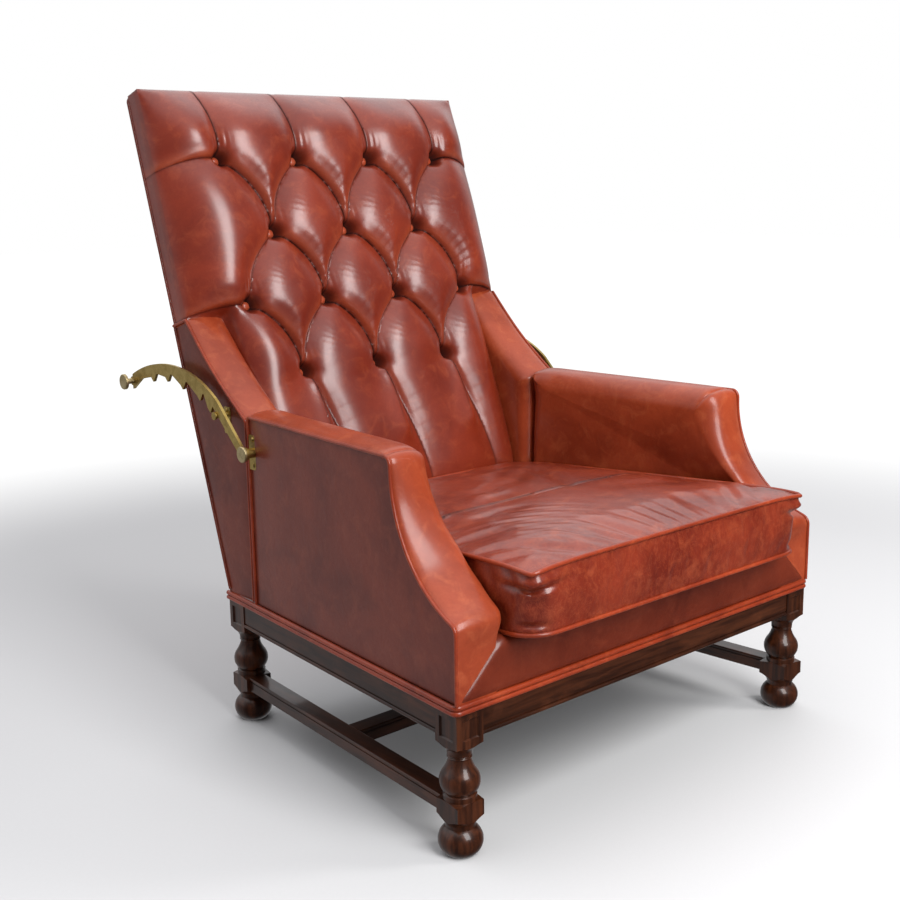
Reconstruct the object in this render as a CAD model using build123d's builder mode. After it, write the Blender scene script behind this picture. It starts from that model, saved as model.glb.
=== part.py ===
from build123d import *
import os
from math import atan, cos, degrees, hypot, radians, sin

os.makedirs("parts", exist_ok=True)

# Reclining library armchair on turned legs. Sizes are in millimetres.
# The front faces -Y, the left side is at -X, and Z is 0 on the floor.
# The origin is on the floor under the middle of the whole chair.

# Seat frame
front_width = 792.0
rear_width = 692.0
frame_depth = 632.0
rail_top = 209.0
rail_height = 39.0
rail_thickness = 25.0
rail_set_back = 1.5
rear_rail_set_in = 13.0
bead_height = 6.0
bead_round = 2.6
quirk_width = 2.0
quirk_depth = 1.6
tenon_length = 20.0
tenon_thickness = 10.0
tenon_cheek = 7.0
tenon_shoulder = 6.0
brace_reach = 28.0
brace_drop = 6.0
fit_gap = 0.3

# Turned legs: a top block, a ball, a lower block and a bun foot
leg_stock = 48.0
top_block_height = 48.0
top_pommel = 17.0
leg_bead_radius = 17.3
leg_bead_height = 2.5
neck_radius = 16.0
ball_radius = 28.5
ball_above = 17.0
shoulder_radius = 24.0
shoulder_above = 31.0
ball_foot_radius = 21.0
neck_below_pommel = 6.0
collar_radius = 23.5
collar_height = 7.0
collar_groove = 2.0
lower_block_low = 57.0
lower_block_height = 20.0
lower_shoulder = 3.0
lower_pommel = 18.0
foot_neck_radius = 21.0
foot_radius = 31.5
foot_pad_radius = 21.0
panel_margin = 9.0
panel_depth = 2.5
panel_bevel = 35.0

# Stretchers
stretcher_height = 22.5
stretcher_width = 30.0
stretcher_set_in = 6.0
stretcher_tenon = 14.0
moulding_bead = 4.5
moulding_bead_round = 2.0
cross_stretcher_width = 32.0
cross_stretcher_share = 0.48

# Webbing, seat platform and front border
strap_width = 50.0
strap_thickness = 2.0
strap_land = 12.0
seat_strap_count = 5
cross_strap_count = 4
strap_spread_share = 0.8
dust_cover_thickness = 1.2
deck_front_height = 91.0
deck_rake = 3.55
deck_rear_set_in = 66.0
border_depth = 40.0
border_round = 14.0

# Arms
arm_thickness = 78.0
arm_top = 534.0
arm_rear_set_in = 95.0
sweep_radius = 195.0
sweep_centre_out = 54.0
sweep_centre_drop = 14.0
sweep_turn = 69.0
ledge_height = 16.0
arm_brow_round = 12.0
arm_ledge_round = 14.0
arm_frame_cover = 1.4
arm_frame_thickness = 22.0
arm_frame_margin = 10.0
arm_frame_width = 46.0

# Welt round the foot of the leather
welt_cord = 8.0
welt_proud = 5.0

# Seat cushion
cushion_overhang = 47.0
cushion_side_gap = 11.0
cushion_wing_gap = 3.0
cushion_rear_space = 75.0
cushion_thickness = 97.0
cushion_front_corner = 26.0
cushion_rear_corner = 14.0
cushion_edge = 6.0
cushion_crown = 12.0
cushion_crown_inset = 90.0

# Reclining back: heights run up the lean, depths run forward from its rear face
lean = 17.5
back_set_in = 11.0
back_lift = 18.0
back_length = 842.0
back_top_width = 682.0
panel_thickness = 2.5
pad_depth = 95.0
pad_edge_depth = 46.0
pad_fall_run = 85.0
lumbar_depth = 97.0
lumbar_height = 117.0
pad_foot_depth = 48.0
pad_foot_height = 9.0

# Wings
wing_set_in = 2.7
wing_thickness = 78.0
wing_height = 455.0
wing_top_depth = 43.0
wing_gap = 10.0
wing_foot_lift = 13.0
wing_brow_drop = 4.0
wing_brow = 10.0
wing_sag = 9.0
wing_frame_thickness = 22.0
wing_frame_margin = 14.0
wing_frame_width = 40.0

# Back frame
back_frame_depth = 26.0
stile_width = 46.0
stile_set_in = 20.0
stile_low = 8.0
stile_top_margin = 12.0
back_rail_width = 50.0
middle_rail_share = 0.55
back_strap_count = 6

# Deep buttoning
button_pitch = 160.0
button_row_pitch = 127.0
button_low_row = 341.0
button_radius = 8.0
button_height = 6.0
button_slope = 30.0
tuft_depth = 27.0
tuft_mouth_radius = 26.0
tuft_taper = 32.0

# Hinges
hinge_x = 200.0
hinge_width = 60.0
hinge_rise = 10.0
knuckle_count = 5
knuckle_radius = 5.0
knuckle_relief = 0.6
leaf_thickness = 2.5
leaf_length = 44.0
pin_radius = 2.4
pin_clearance = 0.1
pin_head_radius = 4.0
pin_head = 1.6
side_clearance = 0.3
hinge_screw_spread = 20.0
hinge_screw_reach = 25.0
hinge_screw_stagger = 10.0

# Wood screws
screw_radius = 2.0
screw_length = 16.0
screw_head_radius = 4.0
screw_head_height = 2.0

# Ratchet arms: places are offsets back and up from the pivot
pivot_set_in = 109.3
pivot_height = 269.5
ratchet_thickness = 5.0
ratchet_stand_off = 15.5
eye_radius = 11.0
pivot_radius = 4.0
pivot_clearance = 0.05
pivot_head_radius = 13.0
pivot_head_height = 4.0
pivot_bite = 10.0
bar_neck_back = 4.0
bar_neck_up = 10.0
bar_foot_back = 10.0
bar_foot_up = -4.0
bar_end_back = 85.3
bar_end_up = 66.5
knee_back = 70.0
knee_up = 74.5
shoulder_back = 101.5
shoulder_up = 94.0
crown_back = 202.0
crown_up = 120.5
tip_back = 349.0
tip_up = 92.0
tip_low_up = 66.0
tip_inner_back = 317.0
tip_inner_up = 87.0
tooth_backs = (263.5, 214.5, 165.0, 112.0)
tooth_ups = (101.5, 106.5, 99.0, 86.5)
tooth_lean = 11.0
tooth_drop = 16.0
tooth_heel = 8.0
front_tooth_back = 92.0
front_tooth_up = 54.5
tip_round = 1.5
root_round = 3.0
knob_back = 349.5
knob_up = 80.0
knob_radius = 13.5
knob_stem_radius = 5.0
knob_stem_length = 14.0
knob_thickness = 5.0
knob_tenon_radius = 3.0
bracket_height = 56.0
bracket_width = 21.0
bracket_thickness = 3.0
bracket_let_in = 1.0
bracket_corner = 5.0
bracket_screw_spread = 42.0
boss_radius = 8.0

# Catch plates and studs on the wings
stud_radius = 4.5
stud_back = 77.5
stud_up = 52.0
stud_head_radius = 6.5
stud_head_height = 3.0
catch_height = 44.0
catch_width = 18.0
catch_thickness = 2.5
catch_drop = 10.0
catch_screw_spread = 32.0
catch_corner = 4.0

# Places that follow from the sizes above. The chair is centred on the origin from the front
# of the cushion to the knobs of the ratchet arms.
front_reach = frame_depth / 2 + cushion_overhang
rear_reach = frame_depth / 2 - pivot_set_in + knob_back + knob_radius
frame_centre_y = (front_reach - rear_reach) / 2
front_y = frame_centre_y - frame_depth / 2
rear_y = frame_centre_y + frame_depth / 2
taper = (front_width - rear_width) / 2 / frame_depth
rail_bottom = rail_top - rail_height
rear_rail_y = rear_y - rear_rail_set_in
arm_rear_y = rear_y - arm_rear_set_in
wing_front_y = arm_rear_y + wing_gap
back_foot_y = rear_y - back_set_in
back_foot_z = rail_top + back_lift
deck_front_z = rail_top + deck_front_height
pivot_y = rear_y - pivot_set_in
pivot_z = rail_top + pivot_height
stud_y = pivot_y + stud_back
stud_z = pivot_z + stud_up
hinge_y = rear_rail_y + knuckle_radius
hinge_z = rail_top + hinge_rise
wing_outer = front_width / 2 - taper * (wing_front_y - front_y) - wing_set_in
wing_inner = wing_outer - wing_thickness
stile_outer = wing_outer - stile_set_in
arm_frame_inset = bracket_let_in + taper * bracket_width + arm_frame_cover
cushion_length = frame_depth - cushion_rear_space + cushion_overhang
cushion_front_width = front_width - 2 * (arm_thickness + cushion_side_gap)
cushion_rear_width = 2 * (wing_inner - cushion_wing_gap)
frame_front = panel_thickness + back_frame_depth
webbing_front = frame_front + strap_thickness
sides = ((-1, "left"), (1, "right"))

deck_plane = Plane(
    origin=(0, front_y, deck_front_z),
    x_dir=(1, 0, 0),
    z_dir=(0, sin(radians(deck_rake)), cos(radians(deck_rake))),
)
back_plane = Plane(
    origin=(0, back_foot_y, back_foot_z),
    x_dir=(1, 0, 0),
    z_dir=(0, -cos(radians(lean)), sin(radians(lean))),
)
deck_axis = Axis(deck_plane.origin, deck_plane.z_dir)
back_axis = Axis(back_plane.origin, back_plane.z_dir)


def side_x(y):
    """Half width of the tapered plan at a depth y."""
    return front_width / 2 - taper * (y - front_y)


def on_back(up, forward):
    """Place (y, z) of a point up the lean and forward of the back's rear face."""
    tilt = radians(lean)
    return (
        back_foot_y + up * sin(tilt) - forward * cos(tilt),
        back_foot_z + up * cos(tilt) + forward * sin(tilt),
    )


def side_strip(side, y_start, y_end, outer_inset, inner_inset):
    """Plan of a strip along one tapered side, between two insets from the outer line."""
    Polygon(
        (side * (side_x(y_start) - outer_inset), y_start),
        (side * (side_x(y_end) - outer_inset), y_end),
        (side * (side_x(y_end) - inner_inset), y_end),
        (side * (side_x(y_start) - inner_inset), y_start),
    )


def across(y_start, y_end, inset):
    """Plan of what runs from side to side, an inset inside both tapered sides."""
    Polygon(
        (inset - side_x(y_start), y_start),
        (side_x(y_start) - inset, y_start),
        (side_x(y_end) - inset, y_end),
        (inset - side_x(y_end), y_end),
    )


def spread(count, width):
    """Evenly spaced places over a width, centred on zero."""
    return [width * (index / (count - 1) - 1 / 2) for index in range(count)]


def keep(name, part):
    """Label a finished piece and write it."""
    part.label = name
    export_step(part, f"parts/{name}.step")


def wood_screws(places, direction, sunk):
    """Screws driven along a direction, with sunk or raised heads at the given places."""
    with BuildPart() as group:
        for place in places:
            seat = Plane(origin=place, z_dir=direction)
            with BuildSketch(seat):
                Circle(screw_radius)
            extrude(amount=screw_length)
            with BuildSketch(seat):
                Circle(screw_head_radius)
            narrowing = degrees(atan((screw_head_radius - screw_radius) / screw_head_height))
            extrude(amount=screw_head_height if sunk else -screw_head_height, taper=narrowing)
    return group.part


# Butt hinges low on the back: an odd number of knuckles, the outer ones on the fixed leaf
knuckle_pitch = hinge_width / knuckle_count
fixed_knuckles = range(0, knuckle_count, 2)
moving_knuckles = range(1, knuckle_count, 2)
hinge_up = (hinge_y - back_foot_y) * sin(radians(lean)) + (hinge_z - back_foot_z) * cos(
    radians(lean)
)


def hinge_start(side, index):
    """Where a knuckle's share of the hinge starts along X."""
    return side * hinge_x - hinge_width / 2 + index * knuckle_pitch


def add_knuckles(side, indices):
    """Knuckles of one leaf, short of their share by the side clearance."""
    for index in indices:
        start = hinge_start(side, index) + side_clearance / 2
        with BuildSketch(Plane.YZ.offset(start)) as knuckle:
            with Locations((hinge_y, hinge_z)):
                Circle(knuckle_radius)
        extrude(knuckle.sketch, amount=knuckle_pitch - side_clearance)


def clear_knuckles(side, indices):
    """Relief in a leaf round the other leaf's knuckles."""
    for index in indices:
        start = hinge_start(side, index) - side_clearance / 2
        with BuildSketch(Plane.YZ.offset(start)) as relief:
            with Locations((hinge_y, hinge_z)):
                Circle(knuckle_radius + knuckle_relief)
        extrude(relief.sketch, amount=knuckle_pitch + side_clearance, mode=Mode.SUBTRACT)


def bore_pin(side):
    """Bore of the pin through a leaf's knuckles."""
    with BuildSketch(Plane.YZ.offset(hinge_start(side, 0))) as bore:
        with Locations((hinge_y, hinge_z)):
            Circle(pin_radius + pin_clearance)
    extrude(bore.sketch, amount=hinge_width, mode=Mode.SUBTRACT)


def hinge_screw_offsets(side):
    """Along X and along the leaf, the middle screw further from the knuckles."""
    reach = hinge_screw_reach
    return [
        (side * hinge_x - hinge_screw_spread, reach - hinge_screw_stagger),
        (side * hinge_x, reach),
        (side * hinge_x + hinge_screw_spread, reach - hinge_screw_stagger),
    ]


fixed_screw_places = [
    (x, rear_rail_y + leaf_thickness, hinge_z - down)
    for side, _ in sides
    for x, down in hinge_screw_offsets(side)
]
moving_screw_places = [
    (x, *on_back(hinge_up + up, -leaf_thickness))
    for side, _ in sides
    for x, up in hinge_screw_offsets(side)
]
fixed_screws = wood_screws(fixed_screw_places, (0, -1, 0), sunk=True)
moving_screws = wood_screws(moving_screw_places, back_plane.z_dir, sunk=True)
keep("hinge_screws_in_rail", fixed_screws)
keep("hinge_screws_in_back", moving_screws)

for side, side_name in sides:
    with BuildPart() as fixed_leaf:
        with BuildSketch(Plane.XZ.offset(-rear_rail_y)):
            with Locations((side * hinge_x, hinge_z)):
                Rectangle(hinge_width, leaf_length, align=(Align.CENTER, Align.MAX))
        extrude(amount=-leaf_thickness)
        clear_knuckles(side, moving_knuckles)
        add_knuckles(side, fixed_knuckles)
        bore_pin(side)
        add(fixed_screws, mode=Mode.SUBTRACT)
    keep(f"{side_name}_hinge_fixed_leaf", fixed_leaf.part)

    with BuildPart() as moving_leaf:
        with BuildSketch(back_plane.offset(-leaf_thickness)):
            with Locations((side * hinge_x, hinge_up)):
                Rectangle(hinge_width, leaf_length, align=(Align.CENTER, Align.MIN))
        extrude(amount=leaf_thickness)
        clear_knuckles(side, fixed_knuckles)
        add_knuckles(side, moving_knuckles)
        bore_pin(side)
        add(moving_screws, mode=Mode.SUBTRACT)
    keep(f"{side_name}_hinge_moving_leaf", moving_leaf.part)

with BuildPart() as hinge_pins:
    for side, _ in sides:
        for start, end in ((0, -pin_head), (hinge_width, pin_head)):
            with BuildSketch(Plane.YZ.offset(hinge_start(side, 0) + start)):
                with Locations((hinge_y, hinge_z)):
                    Circle(pin_head_radius)
            extrude(amount=end)
        with BuildSketch(Plane.YZ.offset(hinge_start(side, 0))):
            with Locations((hinge_y, hinge_z)):
                Circle(pin_radius)
        extrude(amount=hinge_width)
keep("hinge_pins", hinge_pins.part)

# Rails tenoned into the legs. The front and side rails have a bead along the lower edge.
leg_rear_face = front_y + leg_stock
leg_front_face = rear_y - leg_stock
tenon_low = rail_bottom + tenon_shoulder
tenon_height = rail_height - 2 * tenon_shoulder
rail_inner = rail_set_back + rail_thickness
rail_tenon_inset = rail_set_back + tenon_cheek
rail_levels = (
    (rail_bottom, bead_height, 0),
    (rail_bottom + bead_height, quirk_width, rail_set_back + quirk_depth),
    (rail_bottom + bead_height + quirk_width, rail_height - bead_height - quirk_width, rail_set_back),
)

side_rails = {}
for side, side_name in sides:
    with BuildPart() as side_rail:
        for low, height, inset in rail_levels:
            with BuildSketch(Plane.XY.offset(low)):
                side_strip(side, leg_rear_face, leg_front_face, inset, rail_inner)
            extrude(amount=height)
        long_edges = side_rail.edges().group_by(SortBy.LENGTH)[-1]
        fillet(long_edges.sort_by(lambda edge: -abs(edge.center().X))[:2], radius=bead_round)
        with BuildSketch(Plane.XY.offset(tenon_low)):
            side_strip(
                side,
                leg_rear_face - tenon_length,
                leg_front_face + tenon_length,
                rail_tenon_inset,
                rail_tenon_inset + tenon_thickness,
            )
        extrude(amount=tenon_height)
    side_rails[side] = side_rail.part
    keep(f"{side_name}_rail", side_rail.part)

with BuildPart() as front_rail:
    for low, height, inset in rail_levels:
        with BuildSketch(Plane.XY.offset(low)):
            across(front_y + inset, front_y + rail_inner, leg_stock)
        extrude(amount=height)
    long_edges = front_rail.edges().filter_by(Axis.X)
    fillet(long_edges.sort_by(Axis.Y)[:2], radius=bead_round)
    with BuildSketch(Plane.XY.offset(tenon_low)):
        cheek_y = front_y + rail_tenon_inset
        across(cheek_y, cheek_y + tenon_thickness, leg_stock - tenon_length)
    extrude(amount=tenon_height)
keep("front_rail", front_rail.part)

with BuildPart() as rear_rail:
    with BuildSketch(Plane.XY.offset(rail_bottom)):
        across(rear_rail_y - rail_thickness, rear_rail_y, leg_stock)
    extrude(amount=rail_height)
    with BuildSketch(Plane.XY.offset(tenon_low)):
        cheek_y = rear_rail_y - tenon_cheek
        across(cheek_y - tenon_thickness, cheek_y, leg_stock - tenon_length)
    extrude(amount=tenon_height)
    add(fixed_screws, mode=Mode.SUBTRACT)
keep("rear_rail", rear_rail.part)

# Stretchers: a flat top, and a bead and groove worked along both upper edges
stretcher_top = lower_block_low + stretcher_height
moulding_low = stretcher_top - moulding_bead - quirk_width
stretcher_levels = (
    (lower_block_low, moulding_low - lower_block_low, 0),
    (moulding_low, quirk_width, quirk_depth),
    (moulding_low + quirk_width, moulding_bead, 0),
)
stretcher_tenon_low = lower_block_low + tenon_shoulder
stretcher_inner = stretcher_set_in + stretcher_width

cross_y = front_y + frame_depth * cross_stretcher_share
with BuildPart() as cross_stretcher:
    for low, height, inset in stretcher_levels:
        half = cross_stretcher_width / 2 - inset
        with BuildSketch(Plane.XY.offset(low)):
            across(cross_y - half, cross_y + half, stretcher_inner)
        extrude(amount=height)
    top_edges = cross_stretcher.edges().filter_by(Axis.X).group_by(Axis.Z)[-1]
    fillet(top_edges, radius=moulding_bead_round)
    with BuildSketch(Plane.XY.offset(stretcher_tenon_low)):
        half = tenon_thickness / 2
        across(cross_y - half, cross_y + half, stretcher_inner - stretcher_tenon)
    extrude(amount=tenon_thickness)
keep("cross_stretcher", cross_stretcher.part)

side_stretchers = {}
for side, side_name in sides:
    with BuildPart() as side_stretcher:
        for low, height, inset in stretcher_levels:
            with BuildSketch(Plane.XY.offset(low)):
                side_strip(
                    side,
                    leg_rear_face,
                    leg_front_face,
                    stretcher_set_in + inset,
                    stretcher_inner - inset,
                )
            extrude(amount=height)
        long_edges = side_stretcher.edges().group_by(SortBy.LENGTH)[-1]
        fillet(long_edges.group_by(Axis.Z)[-1], radius=moulding_bead_round)
        with BuildSketch(Plane.XY.offset(stretcher_tenon_low)):
            middle = stretcher_set_in + stretcher_width / 2
            side_strip(
                side,
                leg_rear_face - stretcher_tenon,
                leg_front_face + stretcher_tenon,
                middle - tenon_thickness / 2,
                middle + tenon_thickness / 2,
            )
        extrude(amount=tenon_thickness)
        add(cross_stretcher.part, mode=Mode.SUBTRACT)
    side_stretchers[side] = side_stretcher.part
    keep(f"{side_name}_stretcher", side_stretcher.part)

# Turned legs
corner_reach = hypot(leg_stock / 2 * (1 + taper), leg_stock / 2)
lower_pommel_low = lower_block_low - lower_pommel
lower_block_top = lower_block_low + lower_block_height
collar_low = lower_block_top + lower_shoulder
collar_top = collar_low + collar_height
ball_foot_z = collar_top + collar_groove
top_block_low = rail_top - top_block_height
top_pommel_low = top_block_low - top_pommel
neck_z = top_pommel_low - neck_below_pommel


def block_profile():
    """Half outline that turns the square stock's ends into rounded shoulders."""
    with BuildLine() as outline:
        Line((0, lower_pommel_low), (foot_neck_radius, lower_pommel_low))
        TangentArc(
            (foot_neck_radius, lower_pommel_low), (corner_reach, lower_block_low), tangent=(0, 1)
        )
        Line((corner_reach, lower_block_low), (corner_reach, lower_block_top))
        Line((corner_reach, lower_block_top), (collar_radius, collar_low))
        Line((collar_radius, collar_low), (collar_radius, collar_top))
        Line((collar_radius, collar_top), (leg_bead_radius, top_pommel_low))
        TangentArc(
            (leg_bead_radius, top_pommel_low), (corner_reach, top_block_low), tangent=(0, 1)
        )
        Line((corner_reach, top_block_low), (corner_reach, rail_top))
        Line((corner_reach, rail_top), (0, rail_top))
        Line((0, rail_top), (0, lower_pommel_low))
    make_face(outline.edges())


def foot_profile():
    """Half outline of the bun foot."""
    with BuildLine() as outline:
        Line((0, 0), (foot_pad_radius, 0))
        foot_middle = lower_pommel_low / 2
        ThreePointArc(
            (foot_pad_radius, 0), (foot_radius, foot_middle), (foot_neck_radius, lower_pommel_low)
        )
        Line((foot_neck_radius, lower_pommel_low), (0, lower_pommel_low))
        Line((0, lower_pommel_low), (0, 0))
    make_face(outline.edges())


def ball_profile():
    """Half outline of the collar, the ball, the neck and its two beads."""
    bead_low = top_pommel_low - 2 * leg_bead_height
    with BuildLine() as outline:
        Line((0, collar_low), (collar_radius, collar_low))
        Line((collar_radius, collar_low), (collar_radius, collar_top))
        Line((collar_radius, collar_top), (ball_foot_radius, ball_foot_z))
        ball_arc = ThreePointArc(
            (ball_foot_radius, ball_foot_z),
            (ball_radius, ball_foot_z + ball_above),
            (shoulder_radius, ball_foot_z + shoulder_above),
        )
        TangentArc(ball_arc @ 1, (neck_radius, neck_z), tangent=ball_arc % 1)
        Line((neck_radius, neck_z), (neck_radius, bead_low))
        for low in (bead_low, bead_low + leg_bead_height):
            Polyline(
                (neck_radius, low),
                (leg_bead_radius, low + leg_bead_height / 2),
                (neck_radius, low + leg_bead_height),
            )
        Line((neck_radius, top_pommel_low), (0, top_pommel_low))
        Line((0, top_pommel_low), (0, collar_low))
    make_face(outline.edges())


panel_size = leg_stock - 2 * panel_margin
for side, side_name in sides:
    for end, end_name in ((-1, "front"), (1, "rear")):
        leg_start = front_y if end < 0 else rear_y - leg_stock
        leg_y = leg_start + leg_stock / 2
        leg_x = side * (side_x(leg_y) - leg_stock / 2)
        spindle = Plane(origin=(leg_x, leg_y, 0), x_dir=(1, 0, 0), z_dir=(0, -1, 0))
        turning = Axis((leg_x, leg_y, 0), (0, 0, 1))
        with BuildPart() as leg:
            for low, high in ((lower_pommel_low, collar_low), (top_pommel_low, rail_top)):
                with BuildSketch(Plane.XY.offset(low)):
                    side_strip(side, leg_start, leg_start + leg_stock, 0, leg_stock)
                extrude(amount=high - low)
            with BuildSketch(spindle):
                block_profile()
            revolve(axis=turning, mode=Mode.INTERSECT)
            with BuildSketch(spindle):
                foot_profile()
                ball_profile()
            revolve(axis=turning)
            panel_z = top_block_low + top_block_height / 2
            end_face = Plane(
                origin=(leg_x, leg_y + end * leg_stock / 2, panel_z),
                x_dir=(1, 0, 0),
                z_dir=(0, end, 0),
            )
            side_face = Plane(
                origin=(side * side_x(leg_y), leg_y, panel_z),
                x_dir=(side * -taper, 1, 0),
                z_dir=(side, taper, 0),
            )
            for face_plane in (end_face, side_face):
                with BuildSketch(face_plane):
                    Rectangle(panel_size, panel_size)
                extrude(amount=-panel_depth, taper=panel_bevel, mode=Mode.SUBTRACT)
            add(side_rails[side], mode=Mode.SUBTRACT)
            add(side_stretchers[side], mode=Mode.SUBTRACT)
            add(front_rail.part if end < 0 else rear_rail.part, mode=Mode.SUBTRACT)
        keep(f"{end_name}_{side_name}_leg", leg.part)

# Corner blocks glued between each leg and its two rails
with BuildPart() as corner_blocks:
    with BuildSketch(Plane.XY.offset(rail_bottom + brace_drop)):
        for side, _ in sides:
            for inward, leg_face, rail_face in (
                (1, leg_rear_face, front_y + rail_inner),
                (-1, leg_front_face, rear_rail_y - rail_thickness),
            ):
                far = leg_face + inward * brace_reach
                Polygon(
                    (side * (side_x(far) - rail_inner), far),
                    (side * (side_x(leg_face) - rail_inner), leg_face),
                    (side * (side_x(leg_face) - leg_stock), leg_face),
                    (side * (side_x(rail_face) - leg_stock), rail_face),
                    (side * (side_x(rail_face) - leg_stock - brace_reach), rail_face),
                )
    extrude(amount=rail_height - 2 * brace_drop)
keep("corner_blocks", corner_blocks.part)

# Webbing under the rails, and the dust cover below it
inner_front = front_y + rail_inner
inner_rear = rear_rail_y - rail_thickness
with BuildPart() as seat_webbing:
    with BuildSketch(Plane.XY.offset(rail_bottom - strap_thickness)):
        clear_depth = leg_front_face - leg_rear_face
        for offset_y in spread(cross_strap_count, clear_depth * strap_spread_share):
            middle = (leg_rear_face + leg_front_face) / 2 + offset_y
            across(middle - strap_width / 2, middle + strap_width / 2, rail_inner - strap_land)
    extrude(amount=strap_thickness)
    with BuildSketch(Plane.XY.offset(rail_bottom - 2 * strap_thickness)):
        clear_width = rear_width - 2 * leg_stock
        strap_depth = inner_rear - inner_front + 2 * strap_land
        for offset_x in spread(seat_strap_count, clear_width * strap_spread_share):
            with Locations((offset_x, (inner_front + inner_rear) / 2)):
                Rectangle(strap_width, strap_depth)
    extrude(amount=strap_thickness)
keep("seat_webbing", seat_webbing.part)

with BuildPart() as dust_cover:
    with BuildSketch(Plane.XY.offset(rail_bottom - 2 * strap_thickness - dust_cover_thickness)):
        across(inner_front - strap_land, inner_rear + strap_land, rail_inner - strap_land)
        for side, _ in sides:
            for start, end in (
                (front_y, leg_rear_face + fit_gap),
                (leg_front_face - fit_gap, rear_y),
            ):
                with BuildSketch(mode=Mode.SUBTRACT):
                    side_strip(side, start, end, 0, leg_stock + fit_gap)
    extrude(amount=dust_cover_thickness)
keep("dust_cover", dust_cover.part)

# Leather of the base stands on the rails, stepped back behind the welt at its foot
welt_height = 2 * welt_cord
welt_step = welt_cord - welt_proud + fit_gap
deck_rear_y = rear_y - deck_rear_set_in

with BuildPart() as front_border:
    for low, height, step in (
        (rail_top, welt_height, welt_step),
        (rail_top + welt_height, deck_front_height, 0),
    ):
        with BuildSketch(Plane.XY.offset(low)):
            across(front_y + step, front_y + border_depth, arm_thickness + fit_gap)
        extrude(amount=height)
    split(bisect_by=deck_plane, keep=Keep.BOTTOM)
    nose = front_border.edges().filter_by(Axis.X).group_by(Axis.Z)[-1]
    fillet(nose, radius=border_round)
keep("front_border", front_border.part)

with BuildPart() as seat_platform:
    block_front = leg_rear_face + brace_reach + fit_gap
    block_rear = leg_front_face - brace_reach - fit_gap
    with BuildSketch(Plane.XY.offset(rail_bottom)):
        across(block_front, block_rear, rail_inner + fit_gap)
    extrude(amount=rail_height)
    with BuildSketch(Plane.XY.offset(rail_top)):
        across(front_y + border_depth + fit_gap, arm_rear_y, arm_thickness + fit_gap)
        tail_width = 2 * (wing_inner - fit_gap)
        with Locations((0, arm_rear_y)):
            Rectangle(tail_width, deck_rear_y - arm_rear_y, align=(Align.CENTER, Align.MIN))
    extrude(amount=deck_front_height)
    split(bisect_by=deck_plane, keep=Keep.BOTTOM)
keep("seat_platform", seat_platform.part)

# Arms: a timber frame inside a stuffed leather cover with a swept front
sweep_centre_y = front_y - sweep_centre_out
sweep_centre_z = arm_top - sweep_centre_drop
brow_y = sweep_centre_y + sweep_radius
sweep_foot_y = sweep_centre_y + sweep_radius * cos(radians(sweep_turn))
sweep_foot_z = sweep_centre_z - sweep_radius * sin(radians(sweep_turn))
ledge_z = sweep_foot_z - ledge_height


def arm_outline():
    """Side view of an arm, with sharp corners."""
    with BuildLine() as outline:
        Polyline((front_y, rail_top), (arm_rear_y, rail_top), (arm_rear_y, arm_top))
        Polyline((arm_rear_y, arm_top), (brow_y, arm_top), (brow_y, sweep_centre_z))
        CenterArc((sweep_centre_y, sweep_centre_z), sweep_radius, 0, -sweep_turn)
        Polyline((sweep_foot_y, sweep_foot_z), (front_y, ledge_z), (front_y, rail_top))
    return make_face(outline.edges())


def arm_ring(grow):
    """Side view of the arm's frame, grown by the clearance round it."""
    arm_outline()
    offset(amount=grow - arm_frame_margin, kind=Kind.INTERSECTION, mode=Mode.REPLACE)
    with BuildSketch(mode=Mode.PRIVATE) as window:
        arm_outline()
        inner = arm_frame_margin + arm_frame_width + grow
        offset(amount=-inner, kind=Kind.INTERSECTION, mode=Mode.REPLACE)
    add(window.sketch, mode=Mode.SUBTRACT)


ratchet_x = side_x(arm_rear_y) + ratchet_stand_off
bracket_x = side_x(arm_rear_y) - bracket_let_in
bracket_face_x = bracket_x + bracket_thickness
bracket_screw_places = {
    side: [
        (side * bracket_face_x, pivot_y, pivot_z + offset_z)
        for offset_z in spread(2, bracket_screw_spread)
    ]
    for side, _ in sides
}
bracket_screws = {
    side: wood_screws(bracket_screw_places[side], (-side, 0, 0), sunk=False) for side, _ in sides
}

pivot_screws = {}
for side, side_name in sides:
    with BuildPart() as pivot_screw:
        shank_start = ratchet_x - pivot_bite
        with BuildSketch(Plane.YZ.offset(side * shank_start)):
            with Locations((pivot_y, pivot_z)):
                Circle(pivot_radius)
        extrude(amount=side * (pivot_bite + ratchet_thickness + fit_gap))
        with BuildSketch(Plane.YZ.offset(side * (ratchet_x + ratchet_thickness + fit_gap))):
            with Locations((pivot_y, pivot_z)):
                Circle(pivot_head_radius)
        extrude(amount=side * pivot_head_height)
        rim = pivot_screw.edges().filter_by(GeomType.CIRCLE).sort_by(Axis.X)
        fillet(rim[0] if side < 0 else rim[-1], radius=pivot_head_height / 2)
    pivot_screws[side] = pivot_screw.part
    keep(f"{side_name}_pivot_screw", pivot_screw.part)

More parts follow.
